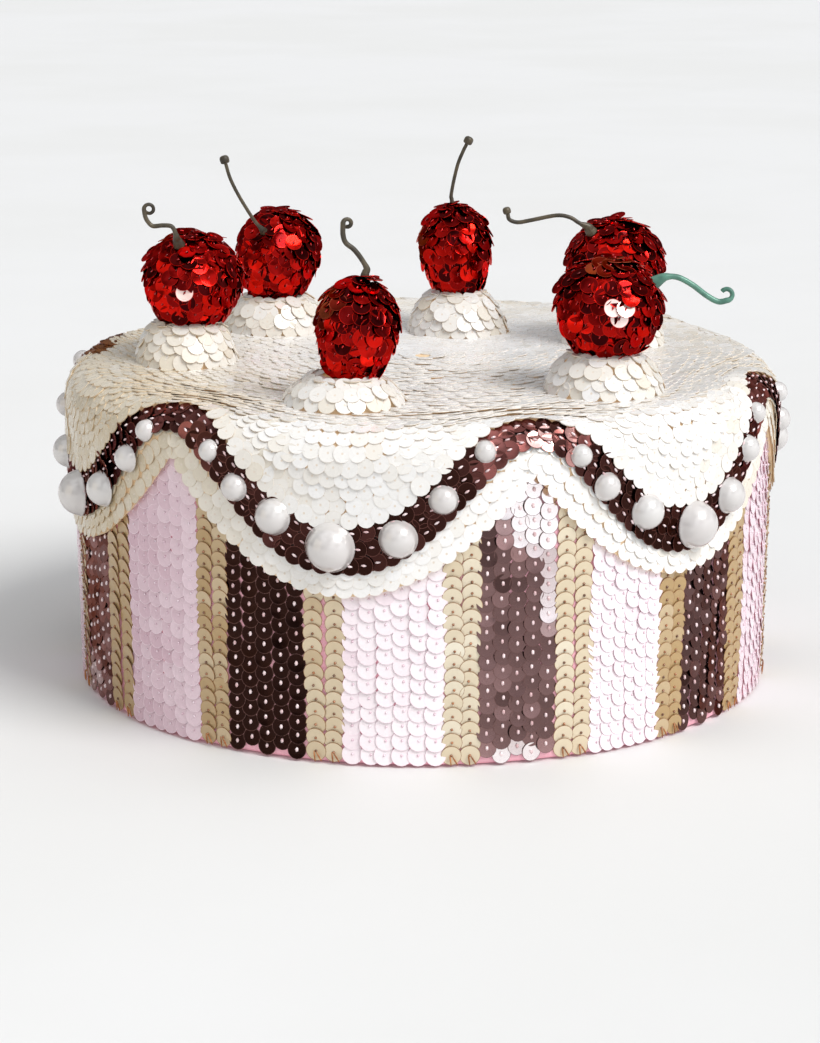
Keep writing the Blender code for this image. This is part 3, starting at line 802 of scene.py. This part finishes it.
    # Cloths: thread, shade and painted glow, an emission standing in for light let through
    cloths = {
        "pink_cloth": ((250, 208, 218), (236, 172, 186), 0.15),
        # Painted shade: the cloth under the cream discs is amber, standing in for the warm shade in the gaps
        # between them
        "gap_shade_cloth": ((236, 222, 196), (208, 182, 146), 0.3),
        "brown_cloth": ((64, 34, 28), (34, 16, 12), 0.0),
        "red_cloth": ((84, 4, 6), (30, 0, 2), 0.0),
    }
    for name, (thread, shade, painted_glow) in cloths.items():
        finishes[name] = cloth_finish(name, weave, thread, shade, painted_glow)
    return finishes


# The cake's pieces


def make_drum(finishes):
    """The drum's cloth, which shows in slits between the stripes' discs."""
    top = COVER_TOP - COVER_THICKNESS - GAP
    profile = [(0.0, top)]
    for step in range(9):
        bend = pi / 2 * (1 - step / 8)
        profile.append((SIDE_RADIUS - DRUM_SHOULDER * (1 - cos(bend)), top - DRUM_SHOULDER * (1 - sin(bend))))
    profile += [(SIDE_RADIUS, 60 * MM), (SIDE_RADIUS, 45 * MM), (FOOT_RADIUS + 0.4 * MM, 22 * MM)]
    for step in range(5):
        bend = pi / 2 * step / 4
        profile.append((FOOT_RADIUS - FOOT_ROUNDING * (1 - cos(bend)), FOOT_ROUNDING * (1 - sin(bend))))
    profile.append((0.0, 0.0))
    mesh = ring_skin("drum_cloth", turned_rings(profile, 240))
    finished(mesh, "drum_cloth", finishes["pink_cloth"], ["cake_body"])


def stripe_columns():
    """Every column of the drum: its kind, its angle and how far off the next one is."""
    for number, start in enumerate(STRIPE_STARTS):
        widths = STRIPE_WIDTHS.get(number, [REPEAT * share for share in STRIPE_SHARES])
        left = start
        for kind, columns, width in zip(STRIPE_KINDS, STRIPE_COLUMNS, widths):
            for column in range(columns):
                yield kind, left + width * (column + 0.5) / columns, radians(width / columns) * SIDE_RADIUS
            left += width


def painted_reflection_at(angle, levels):
    """Painted reflection: how silvery the brown discs look, strongest in the middles of the silvery patches.
    """
    share = np.zeros(len(levels))
    for middle, height, half_width, half_height, strength in REFLECTION_PATCHES:
        away = ((wrapped_angle(angle) - middle) / half_width) ** 2 + ((levels - height) / half_height) ** 2
        share = np.maximum(share, strength * np.clip(1.6 - 1.2 * away, 0.0, 1.0))
    return share


def make_stripes(finishes):
    """Columns of discs down the drum; gold ones lap upwards, the others downwards."""
    draws = np.random.default_rng(11)
    kinds = {kind: Sewing(disc_form(16, CUPPED if kind == "brown" else 0.0)) for kind in STRIPE_PITCH}
    beads = {kind: Sewing(bead_form()) for kind in STRIPE_PITCH}
    tails = Sewing(bead_form())
    for number, (kind, angle, spacing) in enumerate(stripe_columns()):
        reach = float(reach_at(wrapped_angle(angle)))
        width = max(STRIPE_DISCS[kind], 1.03 * spacing)
        low = width / 2 + 0.4 * MM
        if kind == "brown":
            low += 0.5 * STRIPE_PITCH[kind] * (number % 2)
        high = scallop_edge(reach) + 3.0 * MM
        count = round((high - low) / STRIPE_PITCH[kind])
        levels = low + (high - low) * np.arange(count) / (count - 1)
        levels[1:] += 0.12 * MM * draws.standard_normal(count - 1)
        sway = 0.3 * MM * np.sin(levels / (9 * MM) + draws.uniform(0, 2 * pi))
        turns = np.radians(angle) + (sway + 0.12 * MM * draws.standard_normal(count)) / SIDE_RADIUS
        radius = np.interp(levels, (0.0, 45 * MM), (FOOT_RADIUS, SIDE_RADIUS))
        out = np.stack([np.sin(turns), -np.cos(turns), np.zeros(count)], axis=-1)
        place = out * radius[:, None] + np.array([0.0, 0.0, 1.0]) * levels[:, None]
        way = 1.0 if kind == "gold" else -1.0
        proud = np.tile([0.0, 0.0, way], (count, 1))
        if kind == "pink":
            proud += 0.45 * np.stack([-np.cos(turns), -np.sin(turns), np.zeros(count)], axis=-1)
        tilt = np.degrees(asin(STRIPE_STEPS[kind] / STRIPE_PITCH[kind]))
        centres, frames = tiled(place, out, proud, draws, tilt, shake=STRIPE_SHAKES[kind], width=width)
        if kind == "brown":
            # Painted reflection and sheen: the brown discs' tones are drawn towards the silvery and mauve
            # colours
            painted_sheen = np.interp(angle, SHEEN_ANGLES, SHEEN_SHARES)
            mixture = 0.66 + 0.34 * draws.uniform(-1.0, 1.0, count) ** 3
            tones = 1.0 - painted_reflection_at(angle, levels) - painted_sheen * mixture
            # The second row of this draw isn't used; it keeps the later draws as they are
            paler, _ = draws.uniform(0.0, 1.0, (2, count))
            # Painted glints: a few discs made paler still where the sheen is
            tones -= 0.35 * painted_sheen * paler ** 4
        elif kind == "gold":
            # Painted shade: the gold discs' tone set by their angle round the cake
            tones = np.interp(angle, GOLD_SHADE_ANGLES, GOLD_SHADE_TONES) + 0.06 * draws.standard_normal(count)
        else:
            # Painted shade: pink discs deeper on the left, away from the light
            tones = painted_shade_at(place) + 0.03 + 0.06 * draws.standard_normal(count)
        tones = np.clip(tones, 0.0, 1.0)
        radii = width / 2 * (1 + 0.015 * draws.standard_normal(count))
        kinds[kind].add(centres, frames, np.stack([radii, radii, np.full(count, FILM)], axis=1), tones)
        thread = proud
        if kind == "gold":
            thread = proud + 0.5 * np.stack([out[:, 1], -out[:, 0], out[:, 2]], axis=-1)
        clear = (0.06 if kind == "brown" else 0.2) * MM
        spots, bead_frames = bead_places(centres, frames, thread, clear)
        beads[kind].add(spots, bead_frames, np.array(STRIPE_BEADS[kind]) * MM, draws.uniform(0, 1, count))
        if kind == "gold":
            for side, lean in TAILS:
                turn = turns[0] + side * 0.8 * MM / FOOT_RADIUS
                ways = np.array([sin(turn), -cos(turn), 0.0])
                across = np.array([cos(turn), sin(turn), 0.0])
                strand = unit(lean * across - np.array([0.0, 0.0, 1.0]))
                spot = ways * (FOOT_RADIUS + 1.2 * MM) + np.array([0.0, 0.0, 1.95 * MM])
                tail_frame = np.stack([np.cross(strand, ways), strand, ways], axis=1)
                tails.add(spot[None], tail_frame[None], np.array(TAIL_SIZE) * MM, np.zeros(1))
    for kind, sewing in kinds.items():
        sewing.sewn_on(f"{kind}_discs", finishes[kind], "sequin_stripes")
        beads[kind].sewn_on(f"{kind}_beads", finishes[f"{kind}_bead"], "sequin_stripes", sharp=0)
    tails.sewn_on("thread_tails", finishes["thread"], "sequin_stripes", sharp=0)


def make_cover(finishes):
    """The cover's cloth, scalloped at its edge, which shows in gaps between the cream discs; its amber colour
    is painted warm shade in the gaps, and it glows as painted light.
    """
    columns = np.linspace(PEAKS[0], PEAKS[-1], 360, endpoint=False)
    edge = scallop_edge(reach_at(columns))
    shares = np.concatenate((np.linspace(0.0, 0.5, 24), np.linspace(0.5, 1.0, 18)[1:]))
    outer = [cover_place(columns, edge + (MIDDLE - edge) * share)[0] for share in shares]
    inner = [cover_place(columns, edge + (MIDDLE - edge) * share, -COVER_THICKNESS)[0] for share in shares]
    mesh = ring_skin("cover_cloth", inner[::-1] + outer)
    # Painted shade: the cover takes the amber cloth that shows as warm shade between the discs
    finished(mesh, "cover_cloth", finishes["gap_shade_cloth"], ["icing_cover"])


def clear_of_rosettes(places):
    """Which places are free of the rosettes and of the bare places."""
    keep = np.ones(len(places), bool)
    for number, middle in rosette_middles().items():
        away = np.linalg.norm(places[:, :2] - middle[:2], axis=1)
        keep &= (away > (ROSETTES[number]["foot"] - 1.5) * MM) | (places[:, 2] < COVER_TOP - 3 * MM)
    for across, back in BARE_PLACES:
        away = np.linalg.norm(places[:, :2] - np.array([across, back]), axis=1)
        keep &= away > 2.0 * MM
    return keep


def make_cover_discs(finishes):
    """Cream discs: rows under the band, rows over each field and the shoulder, then rings on the top."""
    draws = np.random.default_rng(23)
    film = disc_form(14, 0.0)
    border, field, crown, brown = Sewing(film), Sewing(film), Sewing(film), Sewing(film)

    def sew(sewing, level, phase, step, rise, lift=0.0, shake=1.1, thick=FILM):
        """One row; step is how far off the next row is, rise is how far its discs stand over it."""
        place, out, down, along = row_places(level, COVER_PITCH, phase, lift)
        angles = row_angles(level, COVER_PITCH, phase)
        tip = np.degrees(np.arcsin(np.clip(rise / step(angles), 0.03, 0.3)))
        keep = clear_of_rosettes(place)
        place, out, down, along, tip = place[keep], out[keep], down[keep], along[keep], tip[keep]
        count = len(place)
        place = place + along * (0.22 * MM * draws.standard_normal(count))[:, None]
        proud = down + 0.35 * along
        centres, frames = tiled(place, out, proud, draws, tip, roll=1.5, shake=shake)
        radii = DISC / 2 * (1 + 0.03 * draws.standard_normal(count))
        sizes = np.stack([radii, radii, np.full(count, thick)], axis=1)
        # Painted shade: cream discs deeper on the left, less so near the middle of the top and on faces that
        # look up
        fade = np.interp(np.hypot(place[:, 0], place[:, 1]), FADE_RADII, FADE_SHARES)
        tones = 0.05 + fade * (1.0 - 0.5 * out[:, 2]) * painted_shade_at(place) * draws.uniform(0.7, 1.0, count)
        tones += 0.05 * draws.standard_normal(count)
        tones = np.clip(tones, 0, 1)
        turned = np.degrees(np.arctan2(centres[:, 0], -centres[:, 1]))
        radius = np.hypot(centres[:, 0], centres[:, 1])
        middle, half, inner, outer = BROWN_RIM
        dark = (abs(turned - middle) < half) & (radius > inner) & (radius < outer)
        dark &= centres[:, 2] > 0.9 * COVER_TOP
        if dark.any():
            deep = np.interp(turned[dark], BROWN_RIM_ANGLES, BROWN_RIM_TONES)
            brown.add(centres[dark], frames[dark], sizes[dark], deep)
        sewing.add(centres[~dark], frames[~dark], sizes[~dark], tones[~dark])

    for row in range(3):
        def level(angle, row=row):
            reach = reach_at(angle)
            low = scallop_edge(reach) + 2.3 * MM
            return low + (band_middle(reach) - band_half_height(reach) + 0.6 * MM - low) * row / 2
        sew(border, level, 0.5 * row, lambda angle: np.full(len(angle), 3.4 * MM), 0.38 * MM)

    def field_level(angle, row):
        reach = reach_at(angle)
        half = band_half_height(reach)
        wave = np.sin(pi / 2 * reach) ** 2
        low = band_middle(reach) + half + FIELD_EDGE * half / (BAND_HALF_WIDTH - BAND_NARROWING * wave)
        high = FLAT_START + FIELD_REACH
        sway = 0.35 * MM * np.sin(np.radians(angle) * 7 + row * 1.3)
        return low + (high - low) * row / FIELD_ROWS + sway

    for row in range(FIELD_ROWS):
        def level(angle, row=row):
            return field_level(angle, row)

        def step(angle, row=row):
            return field_level(angle, row + 1) - field_level(angle, row)
        lift = FIELD_LIFTS[row] if row < len(FIELD_LIFTS) else 0.0
        sew(field, level, 0.5 * row, step, FIELD_STEP, lift, thick=THICK_FILM)

    ring = 0
    radius = MIDDLE - FLAT_START - FIELD_REACH
    while radius > 2.0 * MM:
        def level(angle, radius=radius, ring=ring):
            sway = 0.9 * MM * np.sin(np.radians(angle) * 4 + ring * 0.35) * min(1.0, radius / (30 * MM))
            return MIDDLE - radius + sway
        sew(crown, level, 0.5 * ring + 0.13, lambda angle: np.full(len(angle), TOP_ROW_PITCH), TOP_STEP,
            shake=1.3, thick=THICK_FILM)
        radius -= TOP_ROW_PITCH
        ring += 1
    brown.sewn_on("rim_brown_discs", finishes["copper"], "brown_sequins")
    # Painted light: the border discs take the lighter copy of the cream film
    border.sewn_on("cream_border_discs", finishes["brightened_edging"], "cream_sequins")
    field.sewn_on("cream_field_discs", finishes["cream"], "cream_sequins")
    crown.sewn_on("cream_top_discs", finishes["cream"], "cream_sequins")


def make_band(finishes):
    """The dark band's cloth, three rows of discs and their rosy beads."""
    columns = np.linspace(PEAKS[0], PEAKS[-1], 480, endpoint=False)
    reach = reach_at(columns)
    middle, half = band_middle(reach), band_half_height(reach)
    steps = np.linspace(-1.0, 1.0, 9)
    outer = [cover_place(columns, middle + half * step, GAP + BAND_THICKNESS)[0] for step in steps]
    inner = [cover_place(columns, middle + half * step, GAP)[0] for step in steps]
    mesh = ring_skin("band_cloth", inner[::-1] + outer + [inner[-1]])
    finished(mesh, "band_cloth", finishes["brown_cloth"], ["trim_band"])
    draws = np.random.default_rng(37)
    discs, beads = Sewing(disc_form(18, CUPPED)), Sewing(bead_form())
    for row in (-1, 0, 1):
        def level(angle, row=row):
            reach = reach_at(angle)
            return band_middle(reach) + band_half_height(reach) * row * BAND_ROW_SHARE
        place, out, down, along = row_places(level, BAND_PITCH, 0.33 * row + 0.5, GAP + BAND_THICKNESS)
        angles = row_angles(level, BAND_PITCH, 0.33 * row + 0.5)
        climbing = np.where(reach_at(angles) > 0.0, 1.0, -1.0)[:, None]
        proud = along * climbing + 0.3 * down
        centres, frames = tiled(place, out, proud, draws, 5.5, roll=1.5 * row, shake=2.6)
        count = len(place)
        radii = DISC / 2 * (1 + 0.02 * draws.standard_normal(count))
        tones = 1.0 - 0.06 * abs(draws.standard_normal(count))
        # Painted sheen: band discs paler and rosier round these angles
        for middle, half_width, strength in ROSY_SHEEN_PATCHES:
            near = np.clip(1.0 - (abs((angles - middle + 180) % 360 - 180) / half_width) ** 2, 0.0, 1.0)
            tones -= strength * near * draws.uniform(0.0, 0.9, count)
        sizes = np.stack([radii, radii, np.full(count, FILM)], axis=1)
        discs.add(centres, frames, sizes, np.clip(tones, 0.0, 1.0))
        spots, bead_frames = bead_places(centres, frames, along + 0.2 * down, 0.15 * MM)
        beads.add(spots, bead_frames, np.array(BAND_BEAD) * MM, draws.uniform(0, 1, count))
    discs.sewn_on("band_discs", finishes["rosy"], "brown_sequins")
    beads.sewn_on("band_beads", finishes["brown_bead"], "brown_sequins", sharp=0)


def pearl_places(swag_number):
    """The angle and height of a scallop's seven pearls."""
    name = SWAGS[swag_number]
    if name in PEARL_PLACES:
        return [(angle, height * MM) for angle, height in PEARL_PLACES[name]]
    low, high = PEAKS[swag_number], PEAKS[swag_number + 1]
    middle, half = (low + high) / 2, (high - low) / 2
    return [(middle + half * share, level * MM) for share, level in zip(PEARL_SPREAD, PEARL_LEVELS)]


def pearl_seat(angle, height):
    """A pearl's seat on the cover: its place, and its frame with Z straight out."""
    start = COVER_TOP - SHOULDER
    bend = asin(min(1.0, max(0.0, (height - start) / SHOULDER)))
    up = start + SHOULDER * bend if height > start else height
    place, out = cover_place(angle, up, GAP + BAND_THICKNESS + GAP)
    across = np.array([cos(radians(angle)), sin(radians(angle)), 0.0])
    return place, np.stack([across, np.cross(out, across), out], axis=1)


def make_pearls(finishes):
    """Thirty half pearls, each its own piece, and the twelve smallest joined as one kind."""
    form = half_pearl_form(40, 10)
    small = Sewing(form)
    for swag_number, swag in enumerate(SWAGS):
        for number, (angle, height) in enumerate(pearl_places(swag_number)):
            place, frame = pearl_seat(angle, height)
            radius = PEARL_DIAMETERS[number] * MM / 2
            sizes = (radius, radius, 2 * radius * PEARL_HEIGHT_SHARE)
            edge = number in (0, len(PEARL_DIAMETERS) - 1)
            sewing = small if edge else Sewing(form)
            sewing.add(place[None], frame[None], sizes, np.array([number / 6]))
            if not edge:
                nodes = [f"pearl_{swag}_{number}"]
                sewing.sewn_on(f"half_pearl_{swag}_{number}", finishes["pearl"], "pearl", nodes, 55.0)
    small.sewn_on("small_pearls", finishes["pearl"], "pearl", sharp=55.0)


def make_rosettes(finishes):
    """Each rosette: a cloth mound, rows of discs down its rounded side and petals round the cherry."""
    film = disc_form(16, 0.0)
    floor = COVER_TOP + 0.1 * MM
    for number, middle in rosette_middles().items():
        draws = np.random.default_rng(100 + number)
        facts = ROSETTES[number]
        height, rim, foot = facts["mound"] * MM, facts["rim"] * MM, facts["foot"] * MM
        drops = np.linspace(0.0, 1.0, len(ROSETTE_SWELL))
        swell = np.array(ROSETTE_SWELL)
        core = [(0.0, floor)]
        for share in (1.0, 0.8, 0.6, 0.4, 0.2, 0.05):
            radius = rim + (foot - rim) * np.interp(share, drops, swell)
            core.append((radius - 1.7 * MM, floor + (height - 1.3 * MM) * (1 - share)))
        top = floor + height
        core += [(7.0 * MM, top - 1.6 * MM), (4.5 * MM, top - 2.7 * MM), (0.0, top - 3.2 * MM)]
        mesh = ring_skin(f"rosette_mound_{number}", turned_rings(core, 64, (middle[0], middle[1], 0.0)))
        # Painted shade: the mound takes the same amber cloth, as warm shade between its discs
        finished(mesh, mesh.name, finishes["gap_shade_cloth"], [f"rosette_{number}"])
        sewing = Sewing(film)

        def sew(radius, level, slope, step, phase, rise=0.42 * MM, shake=2.6):
            count = round(2 * pi * radius / (4.2 * MM))
            turns = 2 * pi * (np.arange(count) + phase + 0.1 * draws.standard_normal(count)) / count
            ways = np.stack([np.sin(turns), -np.cos(turns), np.zeros(count)], axis=-1)
            place = ways * radius + np.array([middle[0], middle[1], level])
            out = ways * cos(slope) + np.array([0.0, 0.0, sin(slope)])
            down = ways * sin(slope) - np.array([0.0, 0.0, cos(slope)])
            tip = np.degrees(asin(rise / step))
            centres, frames = tiled(place, out, down, draws, tip, roll=2.0, shake=shake)
            sizes = np.array((DISC / 2, DISC / 2, THICK_FILM))
            # Painted shade: rosette discs deeper on the left, away from the light
            tones = 0.16 + 0.14 * painted_shade_at(place) + 0.06 * draws.standard_normal(count)
            sewing.add(centres, frames, sizes, np.clip(tones, 0, 1))

        rows = max(2, round(height / (3.3 * MM)))
        for row in range(rows):
            share = 1.0 - (2.2 * MM + (height - 3.0 * MM) * row / rows) / height
            radius = rim + (foot - rim) * np.interp(share, drops, swell) - 1.3 * MM
            steeper = np.interp(share + 0.12, drops, swell) - np.interp(share - 0.12, drops, swell)
            slope = np.arctan2((foot - rim) * steeper, 0.24 * height)
            sew(radius, floor + height * (1.0 - share), slope, height / rows, 0.5 * row)
        sew(rim - 1.4 * MM, floor + height - 1.0 * MM, radians(48.0), 3.0 * MM, 0.5 * rows)
        sew(rim - 3.4 * MM, floor + height - 0.5 * MM, radians(78.0), 3.0 * MM, 0.5 * rows + 0.5, shake=3.5)
        sewing.sewn_on(f"rosette_discs_{number}", finishes["cream"], "cream_sequins")


def cherry_skin(number, rise, turns, grow=0.0):
    """Points of the leaning egg at one height share, -1 to 1, with the way out of it and the way down it."""
    middle, half_width, half_height = cherry_facts(number)
    fuller = 1.0 + CHERRY_EGG * rise * (1.0 - rise * rise)
    across = np.sqrt(max(0.0, 1.0 - rise * rise)) * fuller
    ring = np.stack([across * np.cos(turns), across * np.sin(turns), np.full(len(turns), rise)], axis=-1)
    scale = np.array([half_width + grow, half_width + grow, half_height + grow])
    out = unit(ring / scale)
    lean = np.array(Matrix.Rotation(radians(CHERRIES[number]["lean"]), 3, "Y"))
    down = np.array([0.0, 0.0, -1.0])
    down = unit(down - out * np.sum(down * out, axis=1, keepdims=True) + 1e-6)
    return (ring * scale) @ lean.T + np.array(middle), out @ lean.T, down @ lean.T


def make_cherries(finishes):
    """Each cherry: a dark core, rows of bright discs round its leaning axis, and slim beads."""
    film = disc_form(18, 1.4 * CUPPED)
    amber, glints = Sewing(film), Sewing(film)
    for number in CHERRIES:
        draws = np.random.default_rng(200 + number)
        middle, half_width, half_height = cherry_facts(number)
        turns = np.linspace(0.0, 2 * pi, 48, endpoint=False)
        rises = -np.cos(np.linspace(0.0, pi, 25))
        core = [cherry_skin(number, rise, turns, -1.4 * MM)[0] for rise in rises]
        mesh = ring_skin(f"cherry_core_{number}", core)
        finished(mesh, mesh.name, finishes["red_cloth"], [f"cherry_{number}"])
        discs, beads = Sewing(film), Sewing(bead_form())
        polar = np.linspace(0.0, pi, 181)
        steps = np.hypot(np.diff(half_width * np.sin(polar)), np.diff(half_height * np.cos(polar)))
        run = np.concatenate(([0.0], np.cumsum(steps)))
        rows = round(run[-1] / (3.0 * MM))
        sewn = []
        for row in range(rows + 1):
            angle = np.interp(run[-1] * (row + 0.15) / (rows + 0.3), run, polar)
            rise = -cos(angle)
            radius = half_width * sin(angle)
            count = max(1, round(2 * pi * radius / (3.6 * MM)))
            turns = 2 * pi * (np.arange(count) + 0.5 * row + 0.1 * draws.standard_normal(count)) / count
            place, out, down = cherry_skin(number, rise, turns, -1.15 * MM)
            keep = place[:, 2] > COVER_TOP + (ROSETTES[number]["mound"] - 2.0) * MM
            if keep.any():
                # Painted light: discs paler low on the cherry and deeper towards its top
                tones = np.clip(draws.normal(0.52 + 0.28 * rise, 0.36, keep.sum()), 0, 1)
                sewn.append((place[keep], out[keep], down[keep], tones))
        place, out, down, tones = (np.concatenate(part) for part in zip(*sewn))
        centres, frames = tiled(place, out, down, draws, 8.0, roll=3.0, shake=6.0)
        kinds = np.zeros(len(place), int)
        facing = unit(place - np.array(middle))
        # Painted light: discs facing these ways take the amber film
        if number in AMBER_SIDES:
            side = AMBER_SIDES[number]
            kinds[facing @ unit(np.array(side[:3])) > side[3]] = 1
        # Painted highlight: the discs nearest these ways take the white film
        if number in GLINTS:
            side = GLINTS[number]
            kinds[np.argsort(-facing @ unit(np.array(side[:3])))[:side[3]]] = 2
        for kind, sewing in enumerate((discs, amber, glints)):
            picked = kinds == kind
            if picked.any():
                sizes = np.array((DISC / 2, DISC / 2, FILM))
                sewing.add(centres[picked], frames[picked], sizes, tones[picked])
        spots, bead_frames = bead_places(centres, frames, down + 0.3 * frames[:, :, 0], 0.05 * MM)
        beads.add(spots, bead_frames, np.array(CHERRY_BEAD) * MM, tones)
        discs.sewn_on(f"cherry_discs_{number}", finishes["red"], "cherry_sequins")
        beads.sewn_on(f"cherry_beads_{number}", finishes["red_bead"], "cherry_sequins", sharp=0)
    amber.sewn_on("cherry_amber_discs", finishes["amber"], "cherry_sequins")
    glints.sewn_on("cherry_glint_discs", finishes["glint"], "cherry_sequins")


def smooth_route(points, samples):
    """Points read from a smooth curve through the given ones, so many to each span."""
    padded = [2 * points[0] - points[1], *points, 2 * points[-1] - points[-2]]
    route = []
    for span in range(len(points) - 1):
        a, b, c, d = padded[span:span + 4]
        for step in range(samples):
            t = step / samples
            route.append(0.5 * ((2 * b) + (c - a) * t + (2 * a - 5 * b + 4 * c - d) * t * t
                                + (3 * b - a - 3 * c + d) * t * t * t))
    return route + [points[-1]]


def stem_route(number):
    """The wire's route and thickness from its foot on the cherry to its ring or knob."""
    middle, half_width, half_height = cherry_facts(number)
    way = Vector(CHERRIES[number]["stem"]).normalized()
    skin = Vector((way.x * half_width, way.y * half_width, way.z * half_height))
    outward = Vector((way.x / half_width, way.y / half_width, way.z / half_height)).normalized()
    foot = middle + skin + outward * (3.0 * GAP)
    plane = foot.y + outward.y * STEM_PLANE
    facts = STEMS[number]
    wire, flare = facts["wire"] * MM, facts["flare"] * MM
    corners = [foot, foot + outward * STEM_START]
    corners += [Vector((middle.x + x * MM, plane, middle.z + z * MM)) for x, z in facts["route"]]
    route = smooth_route(corners, 6)
    route[0] = foot - outward * 1.2 * MM
    radii = []
    walked = 0.0
    for place, before in zip(route, route[:1] + route):
        walked += (place - before).length
        radii.append(wire + (flare - wire) * max(0.0, 1.0 - walked / (2 * flare + 1.2 * MM)))
    ahead = (route[-1] - route[-2]).normalized()
    if "ring" in facts:
        side, radius, half_turns = facts["ring"]
        side = Vector((-ahead.z, 0.0, ahead.x)) * side
        radius *= MM
        centre = route[-1] + side * radius
        for step in range(1, 22):
            share = step / 21
            turn = half_turns * pi * share
            drift = Vector((0.0, RING_DRIFT * share, 0.0))
            route.append(centre + (ahead * sin(turn) - side * cos(turn)) * radius + drift)
            radii.append(wire * (1.0 - (1.0 - RING_THINNING) * min(1.0, 4 * share)))
    else:
        knob = facts["knob"] * MM
        end = route[-1]
        for along, across in KNOB_SHAPE[1:]:
            route.append(end + ahead * along * knob)
            radii.append(across * knob)
    return route, radii


def make_stems(finishes):
    for number in CHERRIES:
        route, radii = stem_route(number)
        curve = bpy.data.curves.new(f"wire_{number}", "CURVE")
        curve.dimensions = "3D"
        curve.bevel_depth = 1.0
        curve.bevel_resolution = 4
        curve.use_fill_caps = True
        spline = curve.splines.new("POLY")
        spline.points.add(len(route) - 1)
        for point, place, radius in zip(spline.points, route, radii):
            point.co = (*place, 1.0)
            point.radius = radius
        wire = bpy.data.objects.new(f"wire_{number}", curve)
        bpy.context.scene.collection.objects.link(wire)
        depsgraph = bpy.context.evaluated_depsgraph_get()
        mesh = bpy.data.meshes.new_from_object(wire.evaluated_get(depsgraph))
        bpy.data.objects.remove(wire, do_unlink=True)
        bm = bmesh.new()
        bm.from_mesh(mesh)
        bmesh.ops.remove_doubles(bm, verts=bm.verts, dist=0.000001)
        bm.to_mesh(mesh)
        bm.free()
        mesh.materials.clear()
        finish = finishes["teal_wire" if number == 6 else "wire"]
        finished(mesh, f"wire_stem_{number}", finish, [f"stem_{number}"])


# Camera, lights and floor


def softbox(name, place, aim, width, height, power, light_colour):
    light = bpy.data.lights.new(name, "AREA")
    light.shape = "RECTANGLE"
    light.size = width
    light.size_y = height
    light.energy = power
    light.color = light_colour
    lamp = bpy.data.objects.new(name, light)
    bpy.context.scene.collection.objects.link(lamp)
    lamp.location = place
    lamp.rotation_mode = "QUATERNION"
    lamp.rotation_quaternion = (Vector(aim) - Vector(place)).to_track_quat("-Z", "Y")


def make_studio():
    scene = bpy.context.scene
    lens = bpy.data.cameras.new("camera")
    lens.lens = CAMERA_LENS
    lens.sensor_width = 36.0
    lens.clip_start = 0.05
    lens.clip_end = 30.0
    camera = bpy.data.objects.new("camera", lens)
    scene.collection.objects.link(camera)
    camera.location = CAMERA_PLACE
    camera.rotation_euler = (radians(90.0 - CAMERA_DOWN), 0.0, radians(CAMERA_ASIDE))
    scene.camera = camera
    window = bpy.data.lights.new("window", "SUN")
    window.energy = 2.35
    window.angle = radians(28.0)
    window.color = (1.0, 0.99, 0.97)
    lamp = bpy.data.objects.new("window", window)
    scene.collection.objects.link(lamp)
    lamp.rotation_mode = "QUATERNION"
    lamp.rotation_quaternion = Vector(WINDOW_WAY).to_track_quat("Z", "Y")
    softbox("warm_wall", (-0.9, -0.5, 0.35), (0.0, 0.0, 0.07), 0.7, 0.7, 1.0, (1.0, 0.88, 0.68))
    make_room(scene)
    scene.view_settings.view_transform = "Standard"


def make_room(scene):
    """The light from all round: bright towards the window, dim behind, uneven like a real room."""
    world = bpy.data.worlds.new("room")
    world.use_nodes = True
    nodes, links = world.node_tree.nodes, world.node_tree.links
    backdrop = nodes["Background"]
    place = nodes.new("ShaderNodeTexCoord")
    facing = nodes.new("ShaderNodeVectorMath")
    facing.operation = "DOT_PRODUCT"
    links.new(place.outputs["Generated"], facing.inputs[0])
    facing.inputs[1].default_value = WINDOW_WAY
    towards = spread_between(nodes, links, facing.outputs["Value"], -0.1, 0.95, 0.36, 1.1)
    blots = noise(nodes, links, 3.2, 2.0, "Generated")
    uneven = spread_between(nodes, links, blots, 0.40, 0.60, 0.45, 1.35)
    links.new(math_node(nodes, links, "MULTIPLY", towards, uneven), backdrop.inputs["Strength"])
    backdrop.inputs["Color"].default_value = (0.95, 0.97, 1.0, 1.0)
    scene.world = world


def make_floor():
    profile = [(0.0, -0.2 * MM), (14.0, -0.2 * MM), (14.0, -5 * MM), (0.0, -5 * MM)]
    mesh = ring_skin("floor", turned_rings(profile, 64))
    floor = bpy.data.objects.new("floor", mesh)
    mesh.materials.append(mottled_finish(
        "pale_floor", (226, 226, 226), (221, 221, 220), 3.0, 0.6, 0.7, 0.1 * MM,
    ))
    bpy.context.scene.collection.objects.link(floor)


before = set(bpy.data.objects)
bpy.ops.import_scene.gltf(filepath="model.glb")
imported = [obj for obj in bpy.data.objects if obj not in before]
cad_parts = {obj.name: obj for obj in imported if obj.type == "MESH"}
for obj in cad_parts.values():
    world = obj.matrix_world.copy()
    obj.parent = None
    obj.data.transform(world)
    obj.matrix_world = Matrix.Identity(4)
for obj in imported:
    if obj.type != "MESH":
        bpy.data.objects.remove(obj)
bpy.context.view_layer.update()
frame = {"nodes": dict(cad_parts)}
make_studio()
make_floor()
FINISHES = make_finishes()
make_drum(FINISHES)
make_stripes(FINISHES)
make_cover(FINISHES)
make_cover_discs(FINISHES)
make_band(FINISHES)
make_pearls(FINISHES)
make_rosettes(FINISHES)
make_cherries(FINISHES)
make_stems(FINISHES)
